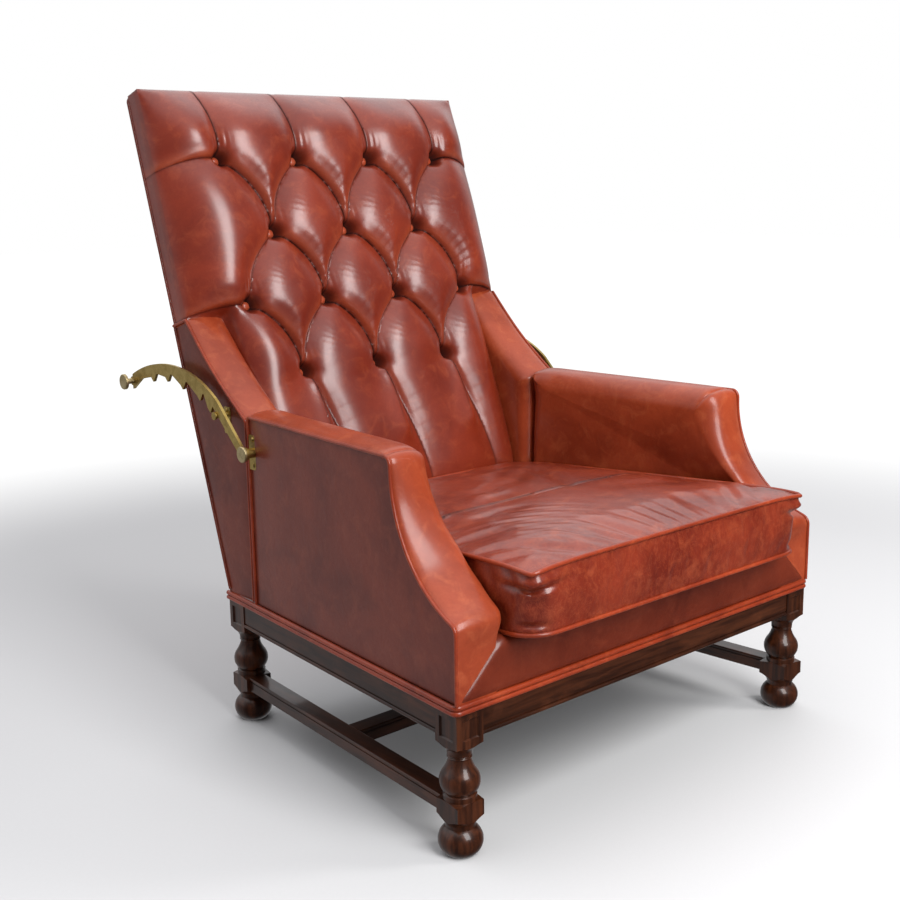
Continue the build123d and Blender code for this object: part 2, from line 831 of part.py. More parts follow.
for side, side_name in sides:
    with BuildPart() as bracket:
        with BuildSketch(Plane.YZ.offset(side * bracket_x)):
            with Locations((arm_rear_y - bracket_width / 2, pivot_z)):
                RectangleRounded(bracket_width, bracket_height, bracket_corner)
        extrude(amount=side * bracket_thickness)
        with BuildSketch(Plane.YZ.offset(side * bracket_face_x)):
            with Locations((pivot_y, pivot_z)):
                Circle(boss_radius)
        extrude(amount=side * (ratchet_x - bracket_face_x - fit_gap))
        add(pivot_screws[side], mode=Mode.SUBTRACT)
        add(bracket_screws[side], mode=Mode.SUBTRACT)
    keep(f"{side_name}_ratchet_bracket", bracket.part)

    with BuildPart() as arm_frame:
        with BuildSketch(Plane.XY.offset(rail_top)):
            inner = arm_frame_inset + arm_frame_thickness
            side_strip(side, front_y, arm_rear_y, arm_frame_inset, inner)
        extrude(amount=arm_top - rail_top)
        with BuildSketch(Plane.YZ):
            arm_ring(0)
        extrude(amount=side * front_width, mode=Mode.INTERSECT)
        add(bracket_screws[side], mode=Mode.SUBTRACT)
    keep(f"{side_name}_arm_frame", arm_frame.part)

    with BuildPart() as arm_frame_space:
        with BuildSketch(Plane.XY.offset(rail_top)):
            outer = arm_frame_inset - fit_gap
            inner = arm_frame_inset + arm_frame_thickness + fit_gap
            side_strip(side, front_y, arm_rear_y, outer, inner)
        extrude(amount=arm_top - rail_top)
        with BuildSketch(Plane.YZ):
            arm_ring(fit_gap)
        extrude(amount=side * front_width, mode=Mode.INTERSECT)

    with BuildPart() as arm_cover:
        for low, high, step in (
            (rail_top, rail_top + welt_height, welt_step),
            (rail_top + welt_height, arm_top, 0),
        ):
            with BuildSketch(Plane.XY.offset(low)):
                side_strip(side, front_y + step, arm_rear_y, step, arm_thickness)
            extrude(amount=high - low)
        with BuildSketch(Plane.YZ):
            outline_face = arm_outline()
            corners = outline_face.vertices()
            brow = corners.sort_by_distance((brow_y, arm_top))[0]
            ledge = corners.sort_by_distance((front_y, ledge_z))[0]
            fillet(brow, radius=arm_brow_round)
            fillet(ledge, radius=arm_ledge_round)
        extrude(amount=side * front_width, mode=Mode.INTERSECT)
        add(arm_frame_space.part, mode=Mode.SUBTRACT)
        with BuildSketch(Plane.YZ.offset(side * bracket_x)):
            with Locations((arm_rear_y - bracket_width / 2, pivot_z)):
                RectangleRounded(bracket_width, bracket_height, bracket_corner)
        extrude(amount=side * ratchet_stand_off, mode=Mode.SUBTRACT)
        add(bracket_screws[side], mode=Mode.SUBTRACT)
    keep(f"{side_name}_arm_cover", arm_cover.part)

with BuildPart() as all_bracket_screws:
    for side, _ in sides:
        add(bracket_screws[side])
keep("bracket_screws", all_bracket_screws.part)

# Welt: two cords, one on the other, round the sides and the front
with BuildPart() as base_welt:
    cord_radius = welt_cord / 2
    cord_inset = cord_radius - welt_proud
    for level in (rail_top + cord_radius, rail_top + welt_cord + cord_radius):
        with BuildLine():
            front_cord_y = front_y + cord_inset
            path = Polyline(
                (cord_inset - side_x(rear_y), rear_y, level),
                (cord_inset - side_x(front_cord_y), front_cord_y, level),
                (side_x(front_cord_y) - cord_inset, front_cord_y, level),
                (side_x(rear_y) - cord_inset, rear_y, level),
            )
        with BuildSketch(Plane(origin=path @ 0, z_dir=path % 0)):
            Circle(cord_radius)
        sweep(transition=Transition.RIGHT)
keep("base_welt", base_welt.part)

# Loose seat cushion on the raked deck
with BuildPart() as seat_cushion:
    cushion_plane = deck_plane.offset(fit_gap)
    with BuildSketch(cushion_plane):
        cushion_rear = cushion_length - cushion_overhang
        outline_face = Polygon(
            (-cushion_front_width / 2, cushion_overhang * -1),
            (cushion_front_width / 2, cushion_overhang * -1),
            (cushion_rear_width / 2, cushion_rear),
            (-cushion_rear_width / 2, cushion_rear),
        )
        corners = outline_face.vertices().group_by(Axis.Y)
        fillet(corners[0], radius=cushion_front_corner)
        fillet(corners[-1], radius=cushion_rear_corner)
    extrude(amount=cushion_thickness)
    cushion_faces = seat_cushion.faces().sort_by(deck_axis)
    fillet([*cushion_faces[0].edges(), *cushion_faces[-1].edges()], radius=cushion_edge)
    with BuildSketch(cushion_plane.offset(cushion_thickness)):
        with Locations((0, cushion_length / 2 - cushion_overhang)):
            Rectangle(cushion_rear_width - 2 * cushion_edge, cushion_length - 4 * cushion_edge)
    crown_slope = degrees(atan(cushion_crown_inset / cushion_crown))
    extrude(amount=cushion_crown, taper=crown_slope)
keep("seat_cushion", seat_cushion.part)

# Back frame: stiles and rails halfway through the thickness of the pad's edge
stile_top = back_length - stile_top_margin
stile_inner = stile_outer - stile_width
middle_rail_low = stile_top * middle_rail_share
frame_plane = back_plane.offset(panel_thickness)

for side, side_name in sides:
    with BuildPart() as stile:
        with BuildSketch(frame_plane):
            with Locations((side * (stile_outer - stile_width / 2), stile_low)):
                Rectangle(stile_width, stile_top - stile_low, align=(Align.CENTER, Align.MIN))
        extrude(amount=back_frame_depth)
    keep(f"back_{side_name}_stile", stile.part)

for rail_name, low in (
    ("bottom", stile_low),
    ("middle", middle_rail_low),
    ("top", stile_top - back_rail_width),
):
    with BuildPart() as back_rail:
        with BuildSketch(frame_plane):
            with Locations((0, low)):
                Rectangle(2 * stile_inner, back_rail_width, align=(Align.CENTER, Align.MIN))
        extrude(amount=back_frame_depth)
        add(moving_screws, mode=Mode.SUBTRACT)
    keep(f"back_{rail_name}_rail", back_rail.part)

with BuildPart() as back_webbing:
    with BuildSketch(back_plane.offset(frame_front)):
        web_length = stile_top - stile_low - 2 * back_rail_width
        for offset_up in spread(back_strap_count, web_length - strap_width):
            with Locations((0, (stile_top + stile_low) / 2 + offset_up)):
                Rectangle(2 * (stile_inner + strap_land), strap_width)
    extrude(amount=strap_thickness)
keep("back_webbing", back_webbing.part)

# Space that the frame and webbing take inside the stuffing
with BuildPart() as back_frame_space:
    with BuildSketch(back_plane.offset(panel_thickness)):
        space_low = -back_lift
        space_height = stile_top + fit_gap - space_low
        with Locations((0, space_low)):
            space_width = 2 * (stile_outer + fit_gap)
            Rectangle(space_width, space_height, align=(Align.CENTER, Align.MIN))
    extrude(amount=webbing_front + fit_gap - panel_thickness)

with BuildPart() as outside_back_panel:
    with BuildSketch(back_plane):
        Polygon(
            (-wing_outer, 0),
            (wing_outer, 0),
            (wing_outer, wing_height),
            (back_top_width / 2, back_length),
            (-back_top_width / 2, back_length),
            (-wing_outer, wing_height),
        )
    extrude(amount=panel_thickness)
    add(moving_screws, mode=Mode.SUBTRACT)
keep("outside_back_panel", outside_back_panel.part)

# Back pad: full width above the wings, narrower between them, with a well at each button
button_places = [
    (
        (index - (3 + row % 2 - 1) / 2) * button_pitch,
        button_low_row + row * button_row_pitch,
    )
    for row in range(4)
    for index in range(3 + row % 2)
]
with BuildPart() as back_pad:
    pad_low = wing_height + fit_gap
    with BuildSketch(back_plane.offset(pad_edge_depth)):
        Polygon(
            (-wing_outer, pad_low),
            (wing_outer, pad_low),
            (back_top_width / 2, back_length),
            (-back_top_width / 2, back_length),
        )
    pad_slope = degrees(atan(pad_fall_run / (pad_depth - pad_edge_depth)))
    extrude(amount=pad_depth - pad_edge_depth, taper=pad_slope)
    pad_edge_face = back_pad.faces().sort_by(back_axis)[0]
    extrude(pad_edge_face, amount=pad_edge_depth - panel_thickness)
    with BuildSketch(Plane.YZ):
        Polygon(
            on_back(pad_foot_height, panel_thickness),
            on_back(pad_foot_height, pad_foot_depth),
            on_back(lumbar_height, lumbar_depth),
            on_back(button_low_row - 2 * tuft_mouth_radius, pad_depth),
            on_back(pad_low + pad_fall_run, pad_depth),
            on_back(pad_low + pad_fall_run, panel_thickness),
        )
    extrude(amount=wing_inner - fit_gap, both=True)
    add(back_frame_space.part, mode=Mode.SUBTRACT)
    with BuildSketch(back_plane.offset(pad_depth)):
        with Locations(*button_places):
            Circle(tuft_mouth_radius)
    extrude(amount=-tuft_depth, taper=tuft_taper, mode=Mode.SUBTRACT)
keep("back_pad", back_pad.part)

with BuildPart() as back_buttons:
    with BuildSketch(back_plane.offset(pad_depth - tuft_depth)):
        with Locations(*button_places):
            Circle(button_radius)
    extrude(amount=button_height, taper=button_slope)
keep("back_buttons", back_buttons.part)


# Wings: shaped cheeks on both sides of the back, each with its own frame inside
def wing_outline():
    """Side view of a wing, with a sharp corner at its brow."""
    brow = (wing_front_y, arm_top - wing_brow_drop)
    crest = on_back(wing_height, wing_top_depth)
    with BuildLine() as outline:
        Polyline(on_back(0, 0), (wing_front_y, back_foot_z + wing_foot_lift), brow)
        SagittaArc(brow, crest, wing_sag)
        Polyline(crest, on_back(wing_height, 0), on_back(0, 0))
    return make_face(outline.edges())


def wing_ring(grow):
    """Side view of the wing's frame, grown by the clearance round it."""
    wing_outline()
    offset(amount=grow - wing_frame_margin, kind=Kind.INTERSECTION, mode=Mode.REPLACE)
    with BuildSketch(mode=Mode.PRIVATE) as window:
        wing_outline()
        inner = wing_frame_margin + wing_frame_width + grow
        offset(amount=-inner, kind=Kind.INTERSECTION, mode=Mode.REPLACE)
    add(window.sketch, mode=Mode.SUBTRACT)


catch_screw_places = {
    side: [
        (side * (wing_outer + catch_thickness), stud_y, stud_z - catch_drop + offset_z)
        for offset_z in spread(2, catch_screw_spread)
    ]
    for side, _ in sides
}
catch_screws = {
    side: wood_screws(catch_screw_places[side], (-side, 0, 0), sunk=False) for side, _ in sides
}

for side, side_name in sides:
    with BuildPart() as wing_frame:
        frame_start = stile_outer - wing_frame_thickness
        with BuildSketch(Plane.YZ.offset(side * frame_start)):
            wing_ring(0)
        extrude(amount=side * wing_frame_thickness)
        split(bisect_by=back_plane.offset(frame_front), keep=Keep.TOP)
        add(catch_screws[side], mode=Mode.SUBTRACT)
    keep(f"{side_name}_wing_frame", wing_frame.part)

    with BuildPart() as wing_cover:
        with BuildSketch(Plane.YZ.offset(side * wing_inner)):
            outline_face = wing_outline()
            brow_point = (wing_front_y, arm_top - wing_brow_drop)
            fillet(outline_face.vertices().sort_by_distance(brow_point)[0], radius=wing_brow)
        extrude(amount=side * wing_thickness)
        split(bisect_by=frame_plane, keep=Keep.TOP)
        add(back_frame_space.part, mode=Mode.SUBTRACT)
        with BuildSketch(Plane.YZ.offset(side * (frame_start - fit_gap))):
            wing_ring(fit_gap)
        extrude(amount=side * (wing_frame_thickness + 2 * fit_gap), mode=Mode.SUBTRACT)
        add(catch_screws[side], mode=Mode.SUBTRACT)
    keep(f"{side_name}_wing_cover", wing_cover.part)

    with BuildPart() as catch_plate:
        with BuildSketch(Plane.YZ.offset(side * wing_outer)):
            with Locations((stud_y, stud_z - catch_drop)):
                RectangleRounded(catch_width, catch_height, catch_corner)
        extrude(amount=side * catch_thickness)
        stud_reach = ratchet_x + ratchet_thickness + fit_gap - wing_outer
        for radius, start, length in (
            (stud_radius, 0, stud_reach),
            (stud_head_radius, stud_reach, stud_head_height),
        ):
            with BuildSketch(Plane.YZ.offset(side * (wing_outer + start))):
                with Locations((stud_y, stud_z)):
                    Circle(radius)
            extrude(amount=side * length)
        add(catch_screws[side], mode=Mode.SUBTRACT)
    keep(f"{side_name}_catch_plate", catch_plate.part)

with BuildPart() as all_catch_screws:
    for side, _ in sides:
        add(catch_screws[side])
keep("catch_plate_screws", all_catch_screws.part)

# Ratchet arms: a curved brass bar with hooked teeth below, and a knob at its end
tooth_points = []
for back, up in zip(tooth_backs, tooth_ups):
    tip = (back + tooth_lean, up - tooth_drop)
    tooth_points += [(tip[0] + tooth_heel, tip[1] + tooth_heel), tip, (back, up)]
front_tooth = (front_tooth_back, front_tooth_up)
front_heel = (front_tooth_back + tooth_heel, front_tooth_up + tooth_heel)
bar_end = (bar_end_back, bar_end_up)


def from_pivot(back, up):
    """Place (y, z) of a point given as an offset from the pivot."""
    return (pivot_y + back, pivot_z + up)


def ratchet_outline():
    """Side view of the ratchet bar from its eye to the end that carries the knob."""
    lower = [
        (tip_back, tip_low_up),
        (tip_inner_back, tip_inner_up),
        *tooth_points,
        front_heel,
        front_tooth,
        bar_end,
        (bar_foot_back, bar_foot_up),
        (bar_neck_back, bar_neck_up),
        (knee_back, knee_up),
    ]
    with BuildLine() as outline:
        Spline(
            from_pivot(knee_back, knee_up),
            from_pivot(shoulder_back, shoulder_up),
            from_pivot(crown_back, crown_up),
            from_pivot(tip_back, tip_up),
        )
        Polyline(
            from_pivot(tip_back, tip_up), *[from_pivot(back, up) for back, up in lower]
        )
    make_face(outline.edges())


for side, side_name in sides:
    with BuildPart() as ratchet_arm:
        with BuildSketch(Plane.YZ.offset(side * ratchet_x)) as ratchet_face:
            ratchet_outline()
            tips = [(back + tooth_lean, up - tooth_drop) for back, up in zip(tooth_backs, tooth_ups)]
            roots = [*zip(tooth_backs, tooth_ups)]
            for places, radius in (([*tips, front_tooth], tip_round), (roots, root_round)):
                for place in places:
                    corners = ratchet_face.vertices()
                    fillet(corners.sort_by_distance(from_pivot(*place))[0], radius=radius)
            with Locations((pivot_y, pivot_z)):
                Circle(eye_radius)
            with Locations(from_pivot(knob_back, knob_up)):
                Circle(knob_stem_radius + knob_tenon_radius)
            with Locations((pivot_y, pivot_z)):
                Circle(pivot_radius + pivot_clearance, mode=Mode.SUBTRACT)
            with Locations(from_pivot(knob_back, knob_up)):
                Circle(knob_tenon_radius, mode=Mode.SUBTRACT)
        extrude(amount=side * ratchet_thickness)
    keep(f"{side_name}_ratchet_arm", ratchet_arm.part)

    with BuildPart() as knob:
        knob_steps = (
            (knob_tenon_radius, 0, ratchet_thickness),
            (knob_stem_radius, ratchet_thickness, knob_stem_length),
            (knob_radius, ratchet_thickness + knob_stem_length, knob_thickness),
        )
        for radius, start, length in knob_steps:
            with BuildSketch(Plane.YZ.offset(side * (ratchet_x + start))):
                with Locations(from_pivot(knob_back, knob_up)):
                    Circle(radius)
            extrude(amount=side * length)
        rims = knob.edges().filter_by(GeomType.CIRCLE).sort_by(lambda edge: edge.center().X * side)
        fillet(rims[-1], radius=knob_thickness / 3)
    keep(f"{side_name}_ratchet_knob", knob.part)
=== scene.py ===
"""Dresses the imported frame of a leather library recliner: hides, tufting, cords, wood and brass."""

import math

import bmesh
import bpy
import numpy as np
from mathutils import Matrix, Vector
from mathutils.kdtree import KDTree


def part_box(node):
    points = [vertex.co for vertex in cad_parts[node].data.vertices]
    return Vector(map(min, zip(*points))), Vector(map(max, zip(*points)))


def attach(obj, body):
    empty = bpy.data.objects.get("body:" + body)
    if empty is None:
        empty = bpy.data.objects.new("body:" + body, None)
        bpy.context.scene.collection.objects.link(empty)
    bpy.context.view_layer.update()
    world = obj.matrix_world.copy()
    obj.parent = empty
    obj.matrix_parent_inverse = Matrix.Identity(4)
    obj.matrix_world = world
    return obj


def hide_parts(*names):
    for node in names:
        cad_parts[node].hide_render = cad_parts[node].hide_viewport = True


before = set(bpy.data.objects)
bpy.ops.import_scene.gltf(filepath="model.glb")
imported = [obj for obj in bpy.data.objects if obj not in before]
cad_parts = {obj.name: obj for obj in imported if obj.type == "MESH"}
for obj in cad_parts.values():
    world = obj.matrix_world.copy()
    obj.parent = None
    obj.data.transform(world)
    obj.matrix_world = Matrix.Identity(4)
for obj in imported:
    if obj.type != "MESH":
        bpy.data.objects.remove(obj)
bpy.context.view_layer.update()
scene = bpy.context.scene

# The camera stands where the photographer stood, worked out from the chair's straight lines.
camera_place = Vector((-1.4421, -1.60705, 0.8982))
camera_yaw, camera_pitch, camera_roll = (math.radians(a) for a in (41.26, 11.84, -0.84))
frame_pixels, focal_pixels, sensor_mm = 900, 1294.9, 36.0


def set_camera():
    level = math.cos(camera_pitch)
    ahead = Vector((math.sin(camera_yaw) * level, math.cos(camera_yaw) * level, -math.sin(camera_pitch)))
    right = Vector((math.cos(camera_yaw), -math.sin(camera_yaw), 0))
    up = right.cross(ahead)
    rolled_right = right * math.cos(camera_roll) + up * math.sin(camera_roll)
    rolled_up = up * math.cos(camera_roll) - right * math.sin(camera_roll)
    turn = Matrix((rolled_right, rolled_up, -ahead)).transposed().to_4x4()
    bpy.ops.object.camera_add()
    camera = bpy.context.object
    camera.matrix_world = Matrix.Translation(camera_place) @ turn
    camera.data.sensor_width = sensor_mm
    camera.data.lens = focal_pixels * sensor_mm / frame_pixels
    scene.camera = camera


def soft_box(name, towards, distance, width, height, power, tint=(1, 1, 1), gleams=True):
    """A large soft light that looks at the middle of the chair from that direction."""
    middle = Vector((0, -0.15, 0.5))
    away = Vector(towards).normalized()
    bpy.ops.object.light_add(type="AREA", location=middle + away * distance)
    box = bpy.context.object
    box.name = name
    box.rotation_euler = away.to_track_quat("Z", "Y").to_euler()
    box.data.shape = "RECTANGLE"
    box.data.size = width
    box.data.size_y = height
    box.data.energy = power
    box.data.color = tint
    box.visible_glossy = gleams


# Shader wiring.
class Wire:
    """A shader socket that does arithmetic."""

    def __init__(self, finish, socket):
        self.finish = finish
        self.socket = socket

    def work(self, operation, first, second):
        return self.finish.node("ShaderNodeMath", {"operation": operation}, {0: first, 1: second})

    def __add__(self, other):
        return self.work("ADD", self, other)

    def __radd__(self, other):
        return self.work("ADD", other, self)

    def __sub__(self, other):
        return self.work("SUBTRACT", self, other)

    def __rsub__(self, other):
        return self.work("SUBTRACT", other, self)

    def __mul__(self, other):
        return self.work("MULTIPLY", self, other)

    def __rmul__(self, other):
        return self.work("MULTIPLY", other, self)


class Finish:
    """A material, or the studio's world, whose nodes are added one call at a time."""

    def __init__(self, name, kind="materials"):
        self.owner = getattr(bpy.data, kind).new(name)
        self.owner.use_nodes = True
        self.tree = self.owner.node_tree
        self.tree.nodes.clear()

    def node(self, kind, settings=None, inputs=None, output=0):
        made = self.tree.nodes.new(kind)
        for key, value in (settings or {}).items():
            setattr(made, key, value)
        for key, value in (inputs or {}).items():
            if isinstance(value, Wire):
                self.tree.links.new(value.socket, made.inputs[key])
            else:
                made.inputs[key].default_value = value
        return Wire(self, made.outputs[output]) if len(made.outputs) else None

    def place(self, scale=(1, 1, 1)):
        spot = self.node("ShaderNodeTexCoord", output="Object")
        return self.node("ShaderNodeMapping", None, {"Vector": spot, "Scale": scale})

    def noise(self, spot, scale, detail=3.0, rough=0.5, warp=0.0):
        sizes = {"Vector": spot, "Scale": scale, "Detail": detail, "Roughness": rough, "Distortion": warp}
        return self.node("ShaderNodeTexNoise", None, sizes)

    def step(self, value, low, high):
        """0 below the low end, 1 above the high end, and a soft rise between."""
        ends = {"Value": value, "From Min": low, "From Max": high}
        return self.node("ShaderNodeMapRange", {"interpolation_type": "SMOOTHSTEP"}, ends)

    def mix(self, share, first, second):
        return self.node("ShaderNodeMix", {"data_type": "RGBA"}, {0: share, 6: first, 7: second}, 2)

    def attribute(self, name):
        return self.node("ShaderNodeAttribute", {"attribute_name": name}, None, "Fac")

    def bump(self, height, strength, distance, under=None):
        inputs = {"Height": height, "Strength": strength, "Distance": distance}
        if under:
            inputs["Normal"] = under
        return self.node("ShaderNodeBump", None, inputs)

    def surface(self, **inputs):
        named = {key.replace("_", " "): value for key, value in inputs.items()}
        shader = self.node("ShaderNodeBsdfPrincipled", None, named)
        self.node("ShaderNodeOutputMaterial", None, {"Surface": shader})
        return self.owner


def shade(swatch):
    """A colour as a maker reads it off a swatch, 0 to 255, made linear."""
    return tuple((c / 255) ** 2.2 for c in swatch) + (1,)


def times(colour, share):
    """The same linear colour made darker or lighter."""
    return tuple(c * share for c in colour[:3]) + (1,)


def leather(name, tone, deep, light, mottle=1.0, veins=0.0, gloss=0.36, slack=1.0, wax=0.5, blur=0.22):
    """Waxed hide: cloudy dye, lighter pulled-up patches, fine pores, soft creases, painted shade in folds,
    wells and seams, and a painted highlight on pleat lips, partly rubbed wear.
    """
    f = Finish(name)
    tone, deep, light = shade(tone), shade(deep), shade(light)
    spot = f.place()
    cloud = f.step(f.noise(spot, 7.0, 5.0, 0.6, 0.6), 0.34, 0.68)
    patch = f.step(f.noise(spot, 31.0, 6.0, 0.65, 0.9), 0.47, 0.72)
    speck = f.step(f.noise(spot, 240.0, 4.0, 0.7), 0.35, 0.75)
    colour = f.mix(cloud * (0.7 * mottle), tone, deep)
    colour = f.mix(patch * (0.34 * mottle), colour, light)
    colour = f.mix(speck * 0.2, colour, deep)
    # Painted shade: the fold attribute darkens the hide nearly to black along pleat creases, in button
    # wells and in the cushion's lap seam. It also makes the hide rougher and unwaxed there.
    fold = f.attribute("fold")
    # Painted highlight, partly rubbed wear: the hide is mixed lighter along the pleat lips.
    colour = f.mix(f.attribute("lip_highlight_and_wear") * 0.6, colour, light)
    colour = f.mix(fold, colour, times(deep, 0.12))
    cells = {"Vector": spot, "Scale": 760.0}
    pores = f.node("ShaderNodeTexVoronoi", {"feature": "DISTANCE_TO_EDGE"}, cells)
    grain = f.step(pores, 0.0, 0.22) * 0.5 + f.noise(spot, 420.0, 3.0, 0.6) * 0.5
    skin = f.bump(grain, 0.10, 0.0006)
    skin = f.bump(f.noise(spot, 26.0, 3.0, 0.5, 0.4), 0.2 * slack, 0.006, skin)
    stretch = f.noise(f.place((0.35, 1.0, 1.0)), 95.0, 3.0, 0.5, 1.2)
    skin = f.bump(stretch, 0.12 * slack, 0.0012, skin)
    if veins:
        lines = f.noise(f.place((1.0, 1.0, 0.55)), 54.0, 6.0, 0.66, 2.6)
        apart = f.node("ShaderNodeMath", {"operation": "ABSOLUTE"}, {0: lines - 0.5})
        vein = 1 - f.step(apart, 0.0, 0.035)
        colour = f.mix(vein * veins, colour, light)
        skin = f.bump(vein, 0.12, 0.0008, skin)
    rough = f.noise(spot, 18.0, 4.0, 0.6) * 0.16 + gloss + speck * 0.05 + fold * 0.4
    coat = wax * (1 - fold)
    return f.surface(Base_Color=colour, Roughness=rough, Normal=skin, Coat_Weight=coat, Coat_Roughness=blur,
                     Specular_IOR_Level=0.2)


def wood(name, along, tone, light, deep, polish):
    """Wood with its grain running that way, and that much polish."""
    f = Finish(name)
    tone, light, deep = shade(tone), shade(light), shade(deep)
    drawn = f.place(tuple(0.07 if axis == along else 1.0 for axis in "xyz"))
    streak = f.noise(drawn, 95.0, 5.0, 0.65, 0.5)
    wide = f.step(f.noise(drawn, 21.0, 4.0, 0.6, 0.8), 0.35, 0.7)
    worn = f.step(f.noise(f.place(), 14.0, 5.0, 0.62), 0.5, 0.75)
    colour = f.mix(f.step(streak, 0.35, 0.68), tone, light)
    colour = f.mix(wide * 0.5, colour, deep)
    colour = f.mix(worn * (0.3 * polish), colour, times(light, 1.9))
    pores = f.bump(streak, 0.16, 0.0008)
    rough = f.noise(f.place(), 22.0, 4.0, 0.6) * 0.2 + (0.5 - 0.25 * polish)
    return f.surface(Base_Color=colour, Roughness=rough, Normal=pores, Specular_IOR_Level=0.22,
                     Coat_Weight=0.35 * polish, Coat_Roughness=0.08)


def aged_metal(name, tone, dull, shine=0.3):
    """Bare metal: brown tarnish in patches, brighter where it rubs."""
    f = Finish(name)
    tone, dull = shade(tone), shade(dull)
    spot = f.place()
    cloud = f.step(f.noise(spot, 60.0, 6.0, 0.68, 0.8), 0.38, 0.66)
    fleck = f.step(f.noise(spot, 420.0, 4.0, 0.7), 0.45, 0.7)
    colour = f.mix(cloud * 0.55, tone, dull)
    colour = f.mix(fleck * 0.2, colour, times(dull, 0.55))
    scuffs = f.bump(f.noise(spot, 300.0, 4.0, 0.7), 0.08, 0.0005)
    rough = cloud * 0.2 + (shine + fleck * 0.1)
    return f.surface(Base_Color=colour, Metallic=1.0, Roughness=rough, Normal=scuffs)


def woven(name, dark, light, pitch):
    """Plain-woven jute or hessian."""
    f = Finish(name)
    spot = f.place()
    threads = {"Vector": spot, "Scale": 0.31 / pitch, "Distortion": 0.6}
    over, under = (f.node("ShaderNodeTexWave", {"wave_type": "BANDS", "bands_direction": axis}, threads, 1)
                   for axis in "XY")
    weave = over * under
    hairs = f.noise(spot, 300.0, 4.0, 0.7)
    colour = f.mix(weave * 0.7 + hairs * 0.3, shade(dark), shade(light))
    return f.surface(Base_Color=colour, Roughness=0.9, Normal=f.bump(weave, 0.5, 0.001))


cognac = (123, 45, 26), (82, 21, 10), (160, 76, 46)
# Painted shade: a darker copy of the cognac hide for the side panels and the outside back, which face away
# from the lamps.
panel_hide_painted_shade = leather("cognac_panel_leather_painted_shade", (110, 46, 31), (78, 28, 20), (132, 64, 44))
# Painted light: a lighter copy of the cognac hide for the arm and wing covers, whose fronts and tops face
# the lamps.
strip_hide_painted_light = leather("cognac_strip_leather_painted_light", (150, 64, 37), (110, 39, 19), (182, 96, 60), 0.9)
# Painted shade: a darker copy of the cognac hide for the front border, which lies in the cushion's shadow.
border_hide_painted_shade = leather("cognac_border_leather_painted_shade", (106, 42, 24), (78, 26, 12), (130, 58, 36), 0.9)
tuft_hide = leather("cognac_tufted_leather", *cognac, mottle=0.8, slack=0.3, wax=1.0, blur=0.27)
seat_hide = leather("cognac_seat_leather", *cognac, mottle=1.1, veins=0.3, gloss=0.31, wax=0.75)
cord_hide = leather("piping_leather", (142, 54, 28), (96, 32, 15), (176, 84, 50), 0.9)
button_hide = leather("button_leather", (160, 70, 44), (120, 42, 24), (192, 104, 74), 0.6)
mahogany = (44, 24, 16), (76, 42, 26), (28, 17, 12), 1.0
beech = (176, 138, 96), (200, 164, 120), (150, 112, 74), 0.0
dark_wood = {axis: wood("dark_mahogany_along_" + axis, axis, *mahogany) for axis in "xyz"}
pale_wood = {axis: wood("beech_along_" + axis, axis, *beech) for axis in "xyz"}
brass = aged_metal("aged_brass", (190, 164, 98), (150, 126, 70))
brass_disc = aged_metal("aged_brass_worn", (196, 178, 136), (156, 138, 100), 0.34)
iron = aged_metal("dull_iron", (92, 86, 80), (50, 42, 36), 0.45)
jute = woven("jute_webbing", (96, 74, 48), (168, 138, 96), 0.0022)
hessian = woven("black_hessian", (18, 17, 16), (46, 43, 40), 0.0012)


# Making pieces.
def alone(piece):
    """Leaves edit mode, and makes this the one piece selected."""
    if bpy.context.object and bpy.context.object.mode != "OBJECT":
        bpy.ops.object.mode_set(mode="OBJECT")
    bpy.ops.object.select_all(action="DESELECT")
    piece.select_set(True)
    bpy.context.view_layer.objects.active = piece


def edit(piece, mode="VERT"):
    """Opens a piece for editing with all of it selected."""
    alone(piece)
    bpy.ops.object.mode_set(mode="EDIT")
    bpy.ops.mesh.select_mode(type=mode)
    bpy.ops.mesh.select_all(action="SELECT")


def done(piece, smooth=60.0):
    """Leaves edit mode with every face looking outwards, shaded smooth up to that angle."""
    edit(piece)
    bpy.ops.mesh.normals_make_consistent(inside=False)
    bpy.ops.object.mode_set(mode="OBJECT")
    bpy.ops.object.shade_smooth_by_angle(angle=math.radians(smooth))


def named(name):
    """The piece just made, under its own name."""
    piece = bpy.context.object
    piece.name = name
    piece.data.name = name
    return piece


def places_of(piece):
    """Where the piece's vertices are, a row for each."""
    places = np.empty(len(piece.data.vertices) * 3)
    piece.data.vertices.foreach_get("co", places)
    return places.reshape(-1, 3)


def put(piece, places):
    """Moves the piece's vertices to those places."""
    piece.data.vertices.foreach_set("co", places.ravel())
    piece.data.update()


def build_up(name, rings):
    """A solid raised from a first face, extruded ring by ring. A ring is a list of places."""
    bpy.ops.object.select_all(action="DESELECT")
    bpy.ops.mesh.primitive_circle_add(vertices=len(rings[0]), fill_type="NGON")
    piece = named(name)
    edit(piece, "FACE")
    solid = bmesh.from_edit_mesh(piece.data)
    station = solid.verts.layers.int.new("station")
    solid.faces.ensure_lookup_table()
    for index, corner in enumerate(solid.faces[0].verts):
        corner[station] = index
    bmesh.update_edit_mesh(piece.data)
    for level, ring in enumerate(rings):
        if level:
            bpy.ops.mesh.extrude_region_move()
        solid = bmesh.from_edit_mesh(piece.data)
        station = solid.verts.layers.int["station"]
        for corner in solid.verts:
            if corner.select:
                corner.co = ring[corner[station]]
        bmesh.update_edit_mesh(piece.data)
    done(piece)
    return piece


def grid_piece(name, columns, rows, lay):
    """A sheet of that many quads, laid by a function of its two shares from 0 to 1."""
    bpy.ops.object.select_all(action="DESELECT")
    bpy.ops.mesh.primitive_grid_add(x_subdivisions=columns, y_subdivisions=rows, size=1)
    piece = named(name)
    flat = places_of(piece)
    put(piece, np.stack(lay(flat[:, 0] + 0.5, flat[:, 1] + 0.5), axis=1))
    alone(piece)
    bpy.ops.object.shade_smooth()
    return piece


